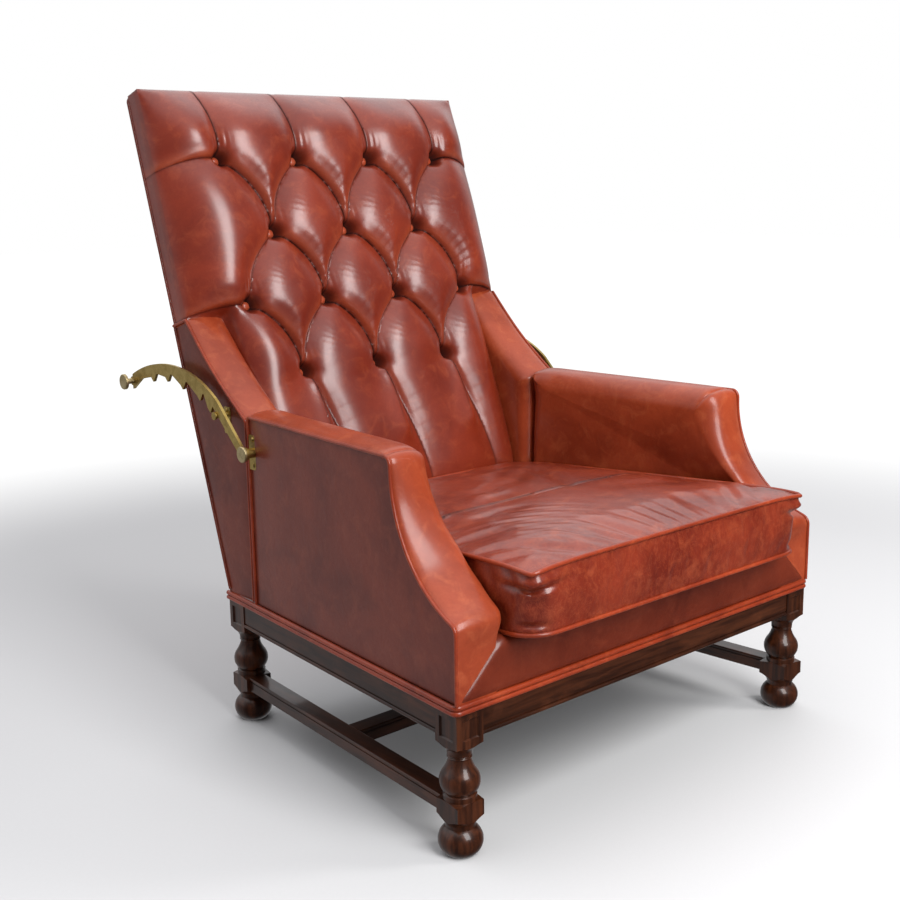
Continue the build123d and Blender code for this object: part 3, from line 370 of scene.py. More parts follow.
def piping(name, points, radius, closed=False):
    """A leather-covered cord along those places."""
    line = bpy.data.curves.new(name, "CURVE")
    line.dimensions = "3D"
    line.bevel_depth = radius
    line.bevel_resolution = 3
    line.use_fill_caps = not closed
    run = line.splines.new("POLY")
    run.points.add(len(points) - 1)
    for knot, place in zip(run.points, points):
        knot.co = (*place, 1)
    run.use_cyclic_u = closed
    piece = bpy.data.objects.new(name, line)
    bpy.context.collection.objects.link(piece)
    alone(piece)
    bpy.ops.object.convert(target="MESH")
    piece = bpy.context.object
    edit(piece)
    bpy.ops.mesh.remove_doubles(threshold=0.00001)
    done(piece)
    return piece


def copied(piece, name):
    """A copy of a piece with its own mesh, open for editing."""
    alone(piece)
    bpy.ops.object.duplicate()
    other = named(name)
    edit(other)
    return other


def twin(piece):
    """The same piece for the right side of the chair."""
    other = copied(piece, piece.name.replace("left", "right"))
    bpy.ops.transform.resize(value=(-1, 1, 1), center_override=(0, 0, 0))
    bpy.ops.mesh.flip_normals()
    bpy.ops.object.mode_set(mode="OBJECT")
    return other


def mark(piece, name, values):
    """Keeps one number for each vertex, for the leather to read."""
    kept = piece.data.attributes.new(name, "FLOAT", "POINT")
    kept.data.foreach_set("value", np.asarray(values, dtype=np.float32))


def dress(piece, body, finish, slot, *nodes):
    """Gives a piece its body, its leather, and the frame's nodes that it stands for."""
    piece.data.materials.clear()
    piece.data.materials.append(finish)
    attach(piece, body)
    if nodes:
        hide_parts(*nodes)


def dress_pair(part, body, *left):
    """Dresses the padded hide, side panel and piping of an arm or wing, on the left and the right."""
    right = [twin(piece) for piece in left]
    for side, (hide, panel, cord) in (("left", left), ("right", right)):
        dress(hide, body, strip_hide_painted_light, "cognac_leather", f"{side}_{part}_cover")
        dress(panel, body, panel_hide_painted_shade, "cognac_leather")
        dress(cord, body, cord_hide, "piping_leather")


def arc(centre, radius, start, end, count):
    """Points on an arc, its angles in degrees."""
    turns = np.radians(np.linspace(start, end, count))
    return [(centre[0] + radius * math.cos(a), centre[1] + radius * math.sin(a)) for a in turns]


def along(points, pitch):
    """The same line with points no further apart than the pitch."""
    out = [points[0]]
    for here, there in zip(points, points[1:]):
        count = max(1, math.ceil(math.dist(here, there) / pitch))
        for k in range(1, count + 1):
            out.append(tuple(a + (b - a) * k / count for a, b in zip(here, there)))
    return out


def outward(points, spread):
    """Outward normals of an open line whose body lies on its right, evened over a spread."""
    line = np.array(points)
    steps = np.diff(line, axis=0)
    lengths = np.maximum(np.linalg.norm(steps, axis=1), 1e-9)
    normals = np.stack([-steps[:, 1], steps[:, 0]], axis=1) / lengths[:, None]
    middles = np.concatenate([[0], np.cumsum(lengths)])
    centres = (middles[1:] + middles[:-1]) / 2
    out = []
    for spot in middles:
        weight = lengths * np.exp(-((centres - spot) / spread) ** 2) + 1e-12
        summed = (normals * weight[:, None]).sum(axis=0)
        out.append(summed / np.linalg.norm(summed))
    return np.array(out), middles


def eased(line, spread):
    """The same line with its corners cut, the more the wider the spread."""
    steps = np.linalg.norm(np.diff(line, axis=0), axis=1)
    run = np.concatenate([[0], np.cumsum(steps)])
    weight = np.exp(-((run[:, None] - run[None, :]) / spread) ** 2) * np.gradient(run)[None, :]
    return weight @ line / weight.sum(axis=1)[:, None]


def soft_curve(at, places, values, soft=0.022):
    """A table read without kinks."""
    fine = np.linspace(places[0] - 0.2, places[-1] + 0.2, 600)
    kernel = np.exp(-((fine - fine.mean()) / soft) ** 2)
    padded = np.pad(np.interp(fine, places, values), 300, mode="edge")
    smooth = np.convolve(padded, kernel / kernel.sum(), "same")
    return np.interp(at, fine, smooth[300:-300])


# Sizes that the leather shares with the frame, and the thickness of its own cords.
edge_cord, rear_edge_cord, cushion_cord, welt_cord = 0.0027, 0.0024, 0.0033, 0.0041
seat_line = 0.225
front_y, rear_y = -0.41935, 0.21265
half_front, side_slope = 0.396, 0.07911
arm_thick, arm_top, arm_rear, arm_seam = 0.078, 0.534, 0.11765, -0.2635
lean_y, lean_z = 0.3007, 0.9537
back_foot = (0.20165, 0.227)


def side_x(y):
    return half_front - side_slope * (y - front_y)


def on_back(x, up, out):
    """A place on the leaning back: up its face, and out from its rear plane."""
    y = back_foot[0] + lean_y * up - lean_z * out
    z = back_foot[1] + lean_z * up + lean_y * out
    return x, y, z


# Arms.
def arm_line():
    """From the front foot up the swept front, over the top, and down to the rear foot, as (y, z)."""
    corner = arc((-0.26635, 0.522), 0.012, 90, 180, 7)
    sweep = arc((-0.47435, 0.520), 0.196, 0, -71.2, 26)
    knee = arc((-0.4060, 0.3208), 0.0145, 108.8, 180, 7)
    rear = [(arm_rear, seat_line), (arm_rear, arm_top - 0.006)]
    rear += arc((arm_rear - 0.006, arm_top - 0.006), 0.006, 0, 90, 4)
    rear += [(arm_seam + 0.0018 * k, arm_top) for k in (2, 1, 0, -1)]
    line = rear + corner + sweep[1:-1] + knee + [(-0.4205, seat_line)]
    return along(line[::-1], 0.009)


def roundings(line, normals, run, most, foot):
    """How far the leather may roll at each point: less at tight corners and down at the foot."""
    angle = np.unwrap(np.arctan2(normals[:, 1], normals[:, 0]))
    tight = np.maximum(-np.gradient(angle, run), 1e-6)
    free = np.minimum(most, 0.72 / tight)
    heights = np.array(line)[:, 1] - foot
    free = np.minimum(free, 0.010 + 0.5 * np.maximum(0, heights - 0.060))
    return np.min(free[None, :] + 0.4 * np.abs(run[:, None] - run[None, :]), axis=1)


def hide_block(name, line, flesh, thick, place, most, crown, foot, seam, nose, fat):
    """Leather wrapped over a board: tucked at the piping, crowned across, rounded into its inner face.

    The outer edge keeps the board's line. Towards the inner face the corners ease by the nose's share,
    and the stuffing stands out by the fat.
    """
    crisp = np.array(line)
    rounded = crisp + (eased(crisp, 0.030) - crisp) * nose[:, None]
    normals, run = outward(rounded, flesh)
    roll = roundings(rounded, normals, run, most, foot)
    seam = run[min(range(len(line)), key=lambda k: math.dist(line[k], seam))]

    def ring_at(flat, turn, sink=0.0):
        ring = []
        for k, (normal, spot, radius) in enumerate(zip(normals, run, roll)):
            s = flat * (thick - radius) + radius * math.sin(turn)
            across = min(1.0, s / thick)
            y, z = crisp[k] + (rounded[k] - crisp[k]) * across ** 0.7
            lift = crown * (1 - (2 * across - 0.85) ** 2) - 0.0045 * math.exp(-s / 0.003)
            pull = lift * min(1.0, max(0.0, z - foot - 0.075) / 0.05) - radius * (1 - math.cos(turn))
            pull += fat[k] * across ** 1.3
            pull -= 0.0026 * math.exp(-((spot - seam) / 0.0022) ** 2)
            pull -= min(sink, radius)
            wider = 0.42 * fat[k] * across ** 2 * (1 - (turn / (math.pi / 2)) ** 3)
            ring.append(place(s + wider, y + normal[0] * pull, max(foot, z + normal[1] * pull)))
        return ring

    rings = [ring_at(0.12, 0.0, 0.010), ring_at(0.05, 0.0, 0.006)]
    rings += [ring_at(share, 0.0) for share in (0, 0.02, 0.06, 0.13, 0.24, 0.4, 0.58, 0.76, 0.9, 1.0)]
    rings += [ring_at(1.0, math.radians(a)) for a in (12, 24, 36, 48, 60, 70, 80, 90)]
    return build_up(name, rings)


def arm_place(s, y, z):
    return -(side_x(y) - s), y, z


arm_edge = arm_line()
arm_y, arm_z = np.array(arm_edge).T
arm_front = arm_y < -0.15
arm_nose = soft_curve(arm_z, (0.45, 0.50), (0, 1), 0.012) * soft_curve(-arm_y, (0.14, 0.20), (0, 1), 0.012)
arm_fat = soft_curve(arm_z, (0.225, 0.298, 0.318, 0.335, 0.352, 0.395, 0.43, 0.467, 0.50),
                     (0, 0, 0.007, 0.014, 0.020, 0.020, 0.012, 0.005, 0), 0.006) * arm_front
arm_roll = np.interp(arm_z, (0.30, 0.36, 0.42, 0.49), (0.012, 0.015, 0.019, 0.028))
left_arm = hide_block("left_arm_hide", arm_edge, 0.015, arm_thick, arm_place, arm_roll, 0.0075, seat_line,
                      (arm_seam, arm_top), arm_nose, arm_fat)
arm_top_index = max(i for i, p in enumerate(arm_edge) if p[1] >= arm_top - 0.0001)
front_edge = arm_edge[: arm_top_index + 1]
rear_edge = arm_edge[arm_top_index:][::-1]


def between(first, second, share, across):
    """A place on the ruled sheet between two lines, by their own lengths."""
    ends = []
    for line in (first, second):
        pts = np.array(line)
        run = np.concatenate([[0], np.cumsum(np.linalg.norm(np.diff(pts, axis=0), axis=1))])
        run /= run[-1]
        ends.append(np.stack([np.interp(share, run, pts[:, k]) for k in (0, 1)], axis=1))
    return ends[0] + (ends[1] - ends[0]) * across[:, None]


def swell(across, share, edge=0.12):
    """0 at a panel's border and 1 over most of it."""
    rise = 1 - np.exp(-(np.minimum(across, 1 - across) / edge) ** 1.4)
    return rise * (1 - np.exp(-(np.minimum(share, 1 - share) / edge) ** 1.4))


def arm_panel(across, share):
    flat = between(front_edge, rear_edge, share, across)
    bulge = 0.0028 * swell(across, share) - 0.0012
    x = -(half_front - side_slope * (flat[:, 0] - front_y)) - bulge
    return x, flat[:, 0], flat[:, 1]


left_arm_panel = grid_piece("left_arm_side_panel", 60, 60, arm_panel)
cord_line = [(-side_x(y) - 0.0006, y - 0.0006, z) for y, z in along(arm_edge, 0.004)]
cord_line = [(x, y, min(z, arm_top - 0.0002)) for x, y, z in cord_line]
left_arm_cord = piping("left_arm_piping", cord_line, edge_cord)
dress_pair("arm", "base", left_arm, left_arm_panel, left_arm_cord)


# Wings.
wing_front, wing_outer, wing_inner = 0.12765, 0.350, 0.272


def wing_line():
    """From the foot in front, up, and back along the top to the back's rear face, as (y, z)."""
    low = [(wing_front, 0.2255), (wing_front, 0.520)]
    corner = arc((wing_front + 0.010, 0.520), 0.010, 180, 125, 5)
    share = np.linspace(0, 1, 22)[1:]
    start, end = np.array(corner[-1]), np.array((0.29765, 0.674))
    normal = np.array((0.66, -0.75))
    hollow = [tuple(start + (end - start) * s + normal * 0.0068 * math.sin(math.pi * s)) for s in share]
    return along(low + corner + hollow + [(0.33865, 0.661)], 0.009)


wing_edge = wing_line()


def wing_place(s, y, z):
    return -(wing_outer - s), y, z


def wing_block(name):
    normals, run = outward(wing_edge, 0.013)
    roll = roundings(wing_edge, normals, run, 0.020, 0)
    thick = wing_outer - wing_inner

    def ring_at(flat, turn, sink=0.0):
        ring = []
        for (y, z), normal, radius in zip(wing_edge, normals, roll):
            s = flat * (thick - radius) + radius * math.sin(turn)
            lift = 0.0047 * (1 - (2 * s / thick - 0.85) ** 2) - 0.0045 * math.exp(-s / 0.003) - sink
            lift -= radius * (1 - math.cos(turn))
            ring.append(wing_place(s, y + normal[0] * lift, z + normal[1] * lift))
        ring.append(wing_place(flat * thick * 0.75 + 0.25 * thick * math.sin(turn), 0.2024, 0.2253))
        return ring

    rings = [ring_at(0.14, 0.0, 0.008), ring_at(0.05, 0.0, 0.006)]
    rings += [ring_at(share, 0.0) for share in (0, 0.02, 0.06, 0.13, 0.26, 0.45, 0.65, 0.85, 1.0)]
    rings += [ring_at(1.0, math.radians(a)) for a in (15, 30, 45, 60, 75, 90)]
    return build_up(name, rings)


def wing_panel(across, share):
    rear = [(0.2022, 0.2253), (0.33865, 0.661)]
    flat = between(wing_edge[:-4], rear, share, across)
    return -wing_outer - 0.0026 * swell(across, share) + 0.0012, flat[:, 0], flat[:, 1]


left_wing = wing_block("left_wing_hide")
left_wing_panel = grid_piece("left_wing_side_panel", 40, 60, wing_panel)
wing_cord = [(-wing_outer - 0.0006, y + 0.001, z) for y, z in along(wing_edge, 0.004)]
left_wing_cord = piping("left_wing_piping", wing_cord, edge_cord)
dress_pair("wing", "backrest", left_wing, left_wing_panel, left_wing_cord)

# Tufted back. Its places are (x, up), and out is measured from the back's rear plane.
button_rows = ((0.721, (-0.24, -0.08, 0.08, 0.24)), (0.591, (-0.16, 0.0, 0.16)),
               (0.467, (-0.24, -0.08, 0.08, 0.24)), (0.341, (-0.16, 0.0, 0.16)))
buttons = [(x, up) for up, row in button_rows for x in row]
pad_half, pad_top, edge_out, pad_fall = 0.348, 0.8535, 0.043, 0.105
well_radius, button_out, wing_top = 0.0135, 0.0540, 0.455


def folds():
    """The pleats as runs: start, end, depth, bow upwards, and the share of depth left at the end."""
    runs = []
    for (up, row), (low_up, low_row) in zip(button_rows, button_rows[1:]):
        for x in row:
            for low_x in low_row:
                if abs(x - low_x) < 0.1:
                    runs.append(((x, up), (low_x, low_up), 0.032, 0.018, 1.0))
    for x in button_rows[0][1]:
        runs.append(((x, 0.721), (x - 0.009, 0.860), 0.026, 0.003, 1.0))
    for side in (-1, 1):
        runs.append(((side * 0.24, 0.721), (side * 0.352, 0.708), 0.024, 0.005, 1.0))
        runs.append(((side * 0.24, 0.467), (side * 0.352, 0.459), 0.032, 0.004, 1.0))
    for x in button_rows[3][1]:
        runs.append(((x, 0.341), (x + 0.062, 0.05), 0.032, 0.012, 0.16))
        runs.append(((x - 0.003, 0.332), (x + 0.008, 0.215), 0.010, 0.003, 0.0))
    return runs


def bowed(start, end, bow, count=12):
    """A fold's own curve, bowed upwards and away from the straight line."""
    start, end = np.array(start), np.array(end)
    normal = np.array((end[1] - start[1], start[0] - end[0]))
    normal = normal / np.linalg.norm(normal)
    if normal[1] < 0:
        normal = -normal
    share = np.linspace(0, 1, count)[:, None]
    return start + (end - start) * share + normal * bow * np.sin(math.pi * share)


def nearest_fold(x, up):
    """For each place: the closest point of any pleat, how far it is, and how the pleats weigh there."""
    near = {name: np.zeros(x.shape) for name in ("close", "deep", "lip", "dark")}
    near.update(distance=np.full(x.shape, 1e9), x=x.copy(), up=up.copy(), weight=np.full(x.shape, 1e-12))
    for start, end, depth, bow, left in folds():
        line = bowed(start, end, bow)
        progress = np.zeros(x.shape)
        best, above = np.full(x.shape, 1e9), np.zeros(x.shape)
        best_x, best_up = x.copy(), up.copy()
        for count, (a, b) in enumerate(zip(line, line[1:])):
            step = b - a
            t = np.clip(((x - a[0]) * step[0] + (up - a[1]) * step[1]) / (step @ step), 0, 1)
            at_x, at_up = a[0] + t * step[0], a[1] + t * step[1]
            d = np.hypot(x - at_x, up - at_up)
            closer = d < best
            best, above = np.where(closer, d, best), np.where(closer, up - at_up, above)
            progress = np.where(closer, (count + t) / (len(line) - 1), progress)
            best_x, best_up = np.where(closer, at_x, best_x), np.where(closer, at_up, best_up)
        lean = np.tanh(1.6 * above / (best + 0.007))
        ease = 1.3 if left < 0.5 else 1.0
        near["close"] += (best / (ease * (0.039 - 0.015 * lean)) + 1e-4) ** -4.0
        weight = (best + 0.002) ** -3.0
        strength = left + (1 - left) * (1 - progress) ** 1.3
        near["deep"] += depth * strength * weight
        near["weight"] += weight
        lip = np.exp(-((best - 0.008) / 0.007) ** 2) * np.clip(2.5 * lean, 0, 1)
        near["lip"] = np.maximum(near["lip"], lip * strength * min(1, depth / 0.02))
        # Painted shade: a thin dark line along each pleat, at full strength on pleats of one slant and 0.55
        # on the others, as the light falls across them.
        slant = 1.0 if (end[0] - start[0]) * (end[1] - start[1]) < 0 else 0.55
        near["dark"] = np.maximum(near["dark"], np.exp(-(best / 0.0017) ** 2) * slant * strength ** 0.5)
        closer = best < near["distance"]
        near["distance"] = np.where(closer, best, near["distance"])
        near["x"], near["up"] = np.where(closer, best_x, near["x"]), np.where(closer, best_up, near["up"])
    return near


def puffs(x, up):
    """How far the leather stands out from the back's rear plane, and how near a pleat or a button is."""
    near = nearest_fold(x, up)
    to_button = np.full(x.shape, 1e9)
    for bx, bu in buttons:
        to_button = np.minimum(to_button, np.hypot(x - bx, up - bu))
    share = np.sqrt(1 - np.exp(-near["close"] ** -0.5))
    deep = near["deep"] / near["weight"] + 0.010 * np.exp(-(to_button / 0.019) ** 2)
    level = soft_curve(up, (0.0, 0.03, 0.115, 0.212, 0.33, 0.46, 0.60, 0.78, 0.86),
                       (0.048, 0.058, 0.103, 0.107, 0.109, 0.109, 0.108, 0.105, 0.100))
    ray, tips = np.zeros(x.shape), np.zeros(x.shape)
    for k, (bx, bu) in enumerate(buttons):
        r, turn = np.hypot(x - bx, up - bu), np.arctan2(up - bu, x - bx)
        ray += 0.0007 * np.cos(9 * turn + k) * np.exp(-((r - 0.019) / 0.008) ** 2)
        tip = np.exp(-((x - bx) / 0.013) ** 2) * np.exp(-((up - bu - 0.029) / 0.014) ** 2)
        tips += 0.0016 * np.cos(math.tau * (x - bx + 0.001 * k) / 0.0085) * tip
    lip = near["lip"] * np.clip((to_button - 0.010) / 0.02, 0, 1)
    out = level - deep * (1 - share) + ray * share - 0.017 * np.exp(-(to_button / well_radius) ** 4)
    out += tips * np.clip(near["distance"] / 0.006, 0, 1)
    return out, near["dark"], to_button, lip


def edge_fall(distance):
    """How the padding thins towards the rim: a soft corner, then a long easy slope."""
    t = np.clip(distance / pad_fall, 0, 1)
    return 1 - (1 - t) ** 2.1


def make_back():
    """The tufted hide: a fine sheet pressed into its pleats and wells, closed at the rear."""
    near_rim = 0.012 * np.array((0, 0.1, 0.25, 0.45, 0.7))
    inner = np.linspace(-pad_half + 0.012, pad_half - 0.012, 264)
    xs = np.concatenate([-pad_half + near_rim, inner, pad_half - near_rim[::-1]])
    ups = np.concatenate([np.linspace(0.012, pad_top - 0.012, 322), pad_top - near_rim[::-1]])
    kept = {}

    def lay(across, share):
        column = np.rint(across * (len(xs) - 1)).astype(int)
        row = np.rint(share * (len(ups) - 1)).astype(int)
        x, up = xs[column], ups[row]
        near = nearest_fold(x, up)
        snap = (near["distance"] < 0.00145) & (pad_half - np.abs(x) > 0.013) & (pad_top - up > 0.013)
        x, up = np.where(snap, near["x"], x), np.where(snap, near["up"], up)
        out, dark, to_button, lip = puffs(x, up)
        rim_x, rim_up = pad_half - np.abs(x), pad_top - up
        fall = edge_fall(rim_x) * edge_fall(rim_up)
        out = edge_out + (out - edge_out) * fall
        corner = np.exp(-rim_x / 0.004) + np.exp(-rim_up / 0.004)
        out = out - 0.005 * np.minimum(corner, 1)
        between_wings = 1 / (1 + np.exp((up - 0.462) / 0.004))
        sunk = 1 / (1 + np.exp(-(np.abs(x) - wing_inner - 0.002) / 0.0025))
        level = soft_curve(up, (0.0, 0.03, 0.115, 0.212, 0.33, 0.455),
                           (0.048, 0.058, 0.100, 0.098, 0.089, 0.078))
        side_gap = np.maximum(wing_inner - np.abs(x), 0)
        slope = 1 - (1 - np.clip(side_gap / 0.06, 0, 1)) ** 2
        out = out + (level - 0.012 + (out - level + 0.012) * slope - out) * between_wings * (1 - sunk)
        out = out + (0.042 - out) * between_wings * sunk
        # Painted shade along the pleat lines and in the button wells.
        kept["fold"] = np.clip(dark + 0.95 * np.exp(-(to_button / well_radius) ** 4), 0, 1)
        # Painted highlight along the pleat lips, partly rubbed wear.
        kept["lip_highlight_and_wear"] = lip * 0.5
        return on_back(x, up - lip * 0.0035, out + lip * 0.002)

    pad = grid_piece("back_pad_hide", len(xs) - 1, len(ups) - 1, lay)
    mark(pad, "fold", kept["fold"])
    mark(pad, "lip_highlight_and_wear", kept["lip_highlight_and_wear"])
    edit(pad, "EDGE")
    bpy.ops.mesh.select_all(action="DESELECT")
    bpy.ops.mesh.select_non_manifold()
    back = Vector((0, lean_z, -lean_y))
    for level in (edge_out * 0.5, 0.0035):
        bpy.ops.mesh.extrude_region_move()
        solid = bmesh.from_edit_mesh(pad.data)
        for corner in solid.verts:
            if corner.select:
                out = (corner.co - Vector(on_back(0, 0, 0))).dot(-back)
                corner.co = corner.co + back * (out - level)
        bmesh.update_edit_mesh(pad.data)
    bpy.ops.mesh.edge_face_add()
    done(pad, 75)
    return pad


back_pad = make_back()
dress(back_pad, "backrest", tuft_hide, "cognac_leather", "back_pad")


def make_button(name, x, up):
    """A covered button, a shallow dome with its edge turned under."""
    profile = ((0.0070, -0.004), (0.0084, 0.0), (0.0080, 0.0024), (0.0064, 0.0044), (0.0038, 0.0056),
               (0.0013, 0.0060))
    turns = [math.tau * k / 24 for k in range(24)]
    rings = [[on_back(x + radius * math.cos(a), up + radius * math.sin(a), button_out + height)
              for a in turns] for radius, height in profile]
    return build_up(name, rings)


first_button = make_button("back_button_1", *buttons[0])
dress(first_button, "backrest", button_hide, "cognac_leather", "back_buttons")
for count, (x, up) in enumerate(buttons[1:], 2):
    button = copied(first_button, f"back_button_{count}")
    shift = Vector(on_back(x, up, 0)) - Vector(on_back(*buttons[0], 0))
    bpy.ops.transform.translate(value=shift)
    bpy.ops.object.mode_set(mode="OBJECT")
    dress(button, "backrest", button_hide, "cognac_leather")


# Outside back, a flat hide with a piped edge.
def outside_back(across, share):
    up = 0.0015 + share * (pad_top - 0.0075)
    half = np.where(up > wing_top, pad_half - 0.002, wing_outer - 0.0012)
    x = (across * 2 - 1) * half
    out = -0.0018 - 0.0026 * swell(across, share, 0.06)
    return on_back(-x, up, out)


rear_hide = grid_piece("outside_back_hide", 60, 70, outside_back)
dress(rear_hide, "backrest", panel_hide_painted_shade, "cognac_leather", "outside_back_panel")
rim = [(-wing_outer, 0.003), (-wing_outer, 0.450), (-pad_half, 0.460), (-pad_half, 0.842)]
rim += [(-0.338 - 0.010 * math.cos(a), 0.843 + 0.010 * math.sin(a)) for a in np.linspace(0.1, 1.5, 6)]
rim += [(-x, up) for x, up in rim[::-1]]
rim = [on_back(x, up, 0.0006) for x, up in along(rim, 0.006)]
dress(piping("outside_back_piping", rim, rear_edge_cord), "backrest", panel_hide_painted_shade, "piping_leather")

# Seat cushion.
cushion_front, cushion_rear, cushion_half, cushion_half_rear = -0.468, 0.142, 0.306, 0.269
cushion_middle = (cushion_front + cushion_rear) / 2
deck_top, deck_fall, cushion_thick = 0.3005, 0.0618, 0.097
top_corner, bottom_corner = 0.013, 0.047
lap_seam, lap_slant = -0.190, 0.02


def deck(y):
    """The height of the sloping seat that the cushion lies on."""
    return deck_top - deck_fall * (y - front_y)


def cushion_plan(across, share, corner=top_corner):
    """Where a point of the square cut lies in the cushion's plan, with its corners rounded."""
    long = (cushion_rear - cushion_front) / 2
    px, py = (across * 2 - 1) * cushion_half, (share * 2 - 1) * long
    cx = np.maximum(np.abs(px) - (cushion_half - corner), 0)
    cy = np.maximum(np.abs(py) - (long - corner), 0)
    length = np.maximum(np.hypot(cx, cy), 1e-9)
    squeeze = np.where((cx > 0) & (cy > 0), np.maximum(cx, cy) / length, 1)
    px = np.sign(px) * (np.abs(px) - cx + cx * squeeze)
    py = np.sign(py) * (np.abs(py) - cy + cy * squeeze)
    y = cushion_middle + py
    taper = 1 - (1 - cushion_half_rear / cushion_half) * (y - cushion_front) / (2 * long)
    return px * taper, y


def corner_dip(across, share):
    """How far the filling falls short at the cushion's top corners."""
    side = np.minimum(np.abs(across * 2 - 1), np.abs(share * 2 - 1))
    return 0.0065 * side ** 8


# A crease's start and end in plan, its width, and how high it stands or how deep it lies.
cushion_creases = (((0.15, -0.02), (0.06, -0.19), 0.016, -0.0042),
                   ((-0.06, -0.13), (0.13, -0.03), 0.020, -0.0046),
                   ((-0.12, -0.16), (0.02, -0.10), 0.016, 0.0034),
                   ((-0.27, -0.22), (-0.10, -0.245), 0.018, -0.0030),
                   ((0.10, -0.26), (0.24, -0.33), 0.026, -0.0030),
                   ((-0.05, 0.03), (0.20, 0.06), 0.022, -0.0036),
                   ((-0.24, -0.04), (-0.16, 0.05), 0.020, -0.0034))


def from_middle(places):
    """Level directions from the cushion's middle to those places."""
    away = places[:, :2] - np.array((0, cushion_middle))
    return away / np.maximum(np.linalg.norm(away, axis=1), 1e-6)[:, None]


def domed(side):
    """1 in the middle of the cushion's top and 0 at its seams."""
    return (1 - side[:, 0] ** 3.2) * (1 - side[:, 1] ** 3.2)


def crumple(x, y):
    """Sat-in creases of the cushion's top, and the ripples that ring its front left corner."""
    lift = np.zeros(x.shape)
    for start, end, wide, high in cushion_creases:
        start, end = np.array(start), np.array(end)
        step = end - start
        t = np.clip(((x - start[0]) * step[0] + (y - start[1]) * step[1]) / (step @ step), 0, 1)
        d = np.hypot(x - start[0] - t * step[0], y - start[1] - t * step[1] - 0.006 * np.sin(9 * t))
        lift += high * np.exp(-(d / wide) ** 2) * np.sin(math.pi * np.clip(t * 0.9 + 0.05, 0, 1)) ** 0.5
    far = np.hypot(x + 0.315, y + 0.485)
    turn = np.arctan2(y + 0.485, x + 0.315)
    wave = np.sin(math.tau * (far + 0.020 * np.sin(2.3 * turn + 9 * far)) / 0.031)
    wave += 0.6 * np.sin(math.tau * (far - 0.012 * np.sin(4.1 * turn)) / 0.019 + 1)
    reach = np.exp(-((far - 0.170) / 0.105) ** 2) * np.exp(-((turn - 0.80) / (0.34 + 0.9 * far)) ** 2)
    broad = 0.0016 * np.sin(17 * x + 9 * y + 2 * np.sin(14 * y)) * np.sin(15 * y - 8 * x + 1)
    return lift * 1.25 + broad + 0.0010 * wave * reach * (0.6 + 0.4 * np.sin(8 * turn + 25 * far))


def pucker(from_corner, height):
    """Gathers where the seams turn the corner: a crease and a roll under the top seam, a small one low."""
    top = cushion_thick - height
    fold = -0.0105 * np.exp(-((top - 0.030 + 0.10 * from_corner) / 0.0046) ** 2)
    roll = 0.0075 * np.exp(-((top - 0.0165) / 0.0075) ** 2)
    low = -0.0070 * np.exp(-((height - 0.016) / 0.0040) ** 2)
    return (fold + roll) * np.exp(-(from_corner / 0.042) ** 2) + low * np.exp(-(from_corner / 0.026) ** 2)


def stuff(piece, start, pins, pressure, most):
    """Blows the case up like its filling does, holding the seams, and never moves a point too far."""
    held = piece.vertex_groups.new(name="seams")
    held.add(pins.tolist(), 1.0, "REPLACE")
    alone(piece)
    bpy.ops.object.modifier_add(type="CLOTH")
    cloth = piece.modifiers[-1]
    hide = cloth.settings
    hide.quality = 6
    hide.mass = 0.4
    hide.tension_stiffness = 18
    hide.compression_stiffness = 6
    hide.shear_stiffness = 4
    hide.bending_stiffness = 1.2
    hide.use_pressure = True
    hide.uniform_pressure_force = pressure
    hide.shrink_min = -0.014
    hide.vertex_group_mass = held.name
    hide.effector_weights.gravity = 0
    frames = 20
    cloth.point_cache.frame_start = 1
    cloth.point_cache.frame_end = frames
    for count in range(1, frames + 1):
        scene.frame_set(count)
    bpy.ops.object.modifier_apply(modifier=cloth.name)
    scene.frame_set(1)
    move = places_of(piece) - start
    length = np.linalg.norm(move, axis=1)
    return start + move * np.minimum(1, most / np.maximum(length, 1e-9))[:, None]


def taken(piece, name):
    """Reads a number kept for each vertex, and takes it off the mesh."""
    kept = piece.data.attributes[name]
    values = np.empty(len(piece.data.vertices), dtype=np.float32)
    kept.data.foreach_get("value", values)
    piece.data.attributes.remove(kept)
    return values.astype(float)


def press_creases(piece):
    """Presses the gathers, the sat-in creases and the lap seam into the cushion's fine skin."""
    across, share, level = (taken(piece, name) for name in ("cut_across", "cut_share", "cut_level"))
    places = places_of(piece)
    side = np.abs(np.stack((across, share), axis=1) * 2 - 1)
    dome = domed(side)
    top = level > 0.995
    wall = (side.max(axis=1) > 0.999) & (level > 0.01) & (level < 0.99) & (share < 0.3)
    from_corner = (1 - side.min(axis=1)) * 0.3
    places[:, :2] += from_middle(places) * (pucker(from_corner, level * cushion_thick) * wall)[:, None]
    places[:, 2] += np.where(top, crumple(places[:, 0], places[:, 1]) * np.minimum(1, 5 * dome), 0)
    to_seam = places[:, 1] - lap_seam + lap_slant * places[:, 0]
    on_seam = top & (np.abs(to_seam) < 0.0019)
    places[:, 1] -= np.where(on_seam, to_seam, 0)
    to_seam = np.where(on_seam, 0, to_seam)
    step = 0.0018 * np.exp(-np.abs(to_seam) / 0.03) * (to_seam < 0)
    places[:, 2] -= step * top * np.minimum(1, 8 * dome)
    # Painted shade: a thin dark line along the lap seam's groove.
    mark(piece, "fold", np.exp(-((to_seam + 0.001) / 0.0026) ** 2) * top * 0.85)
    put(piece, places)


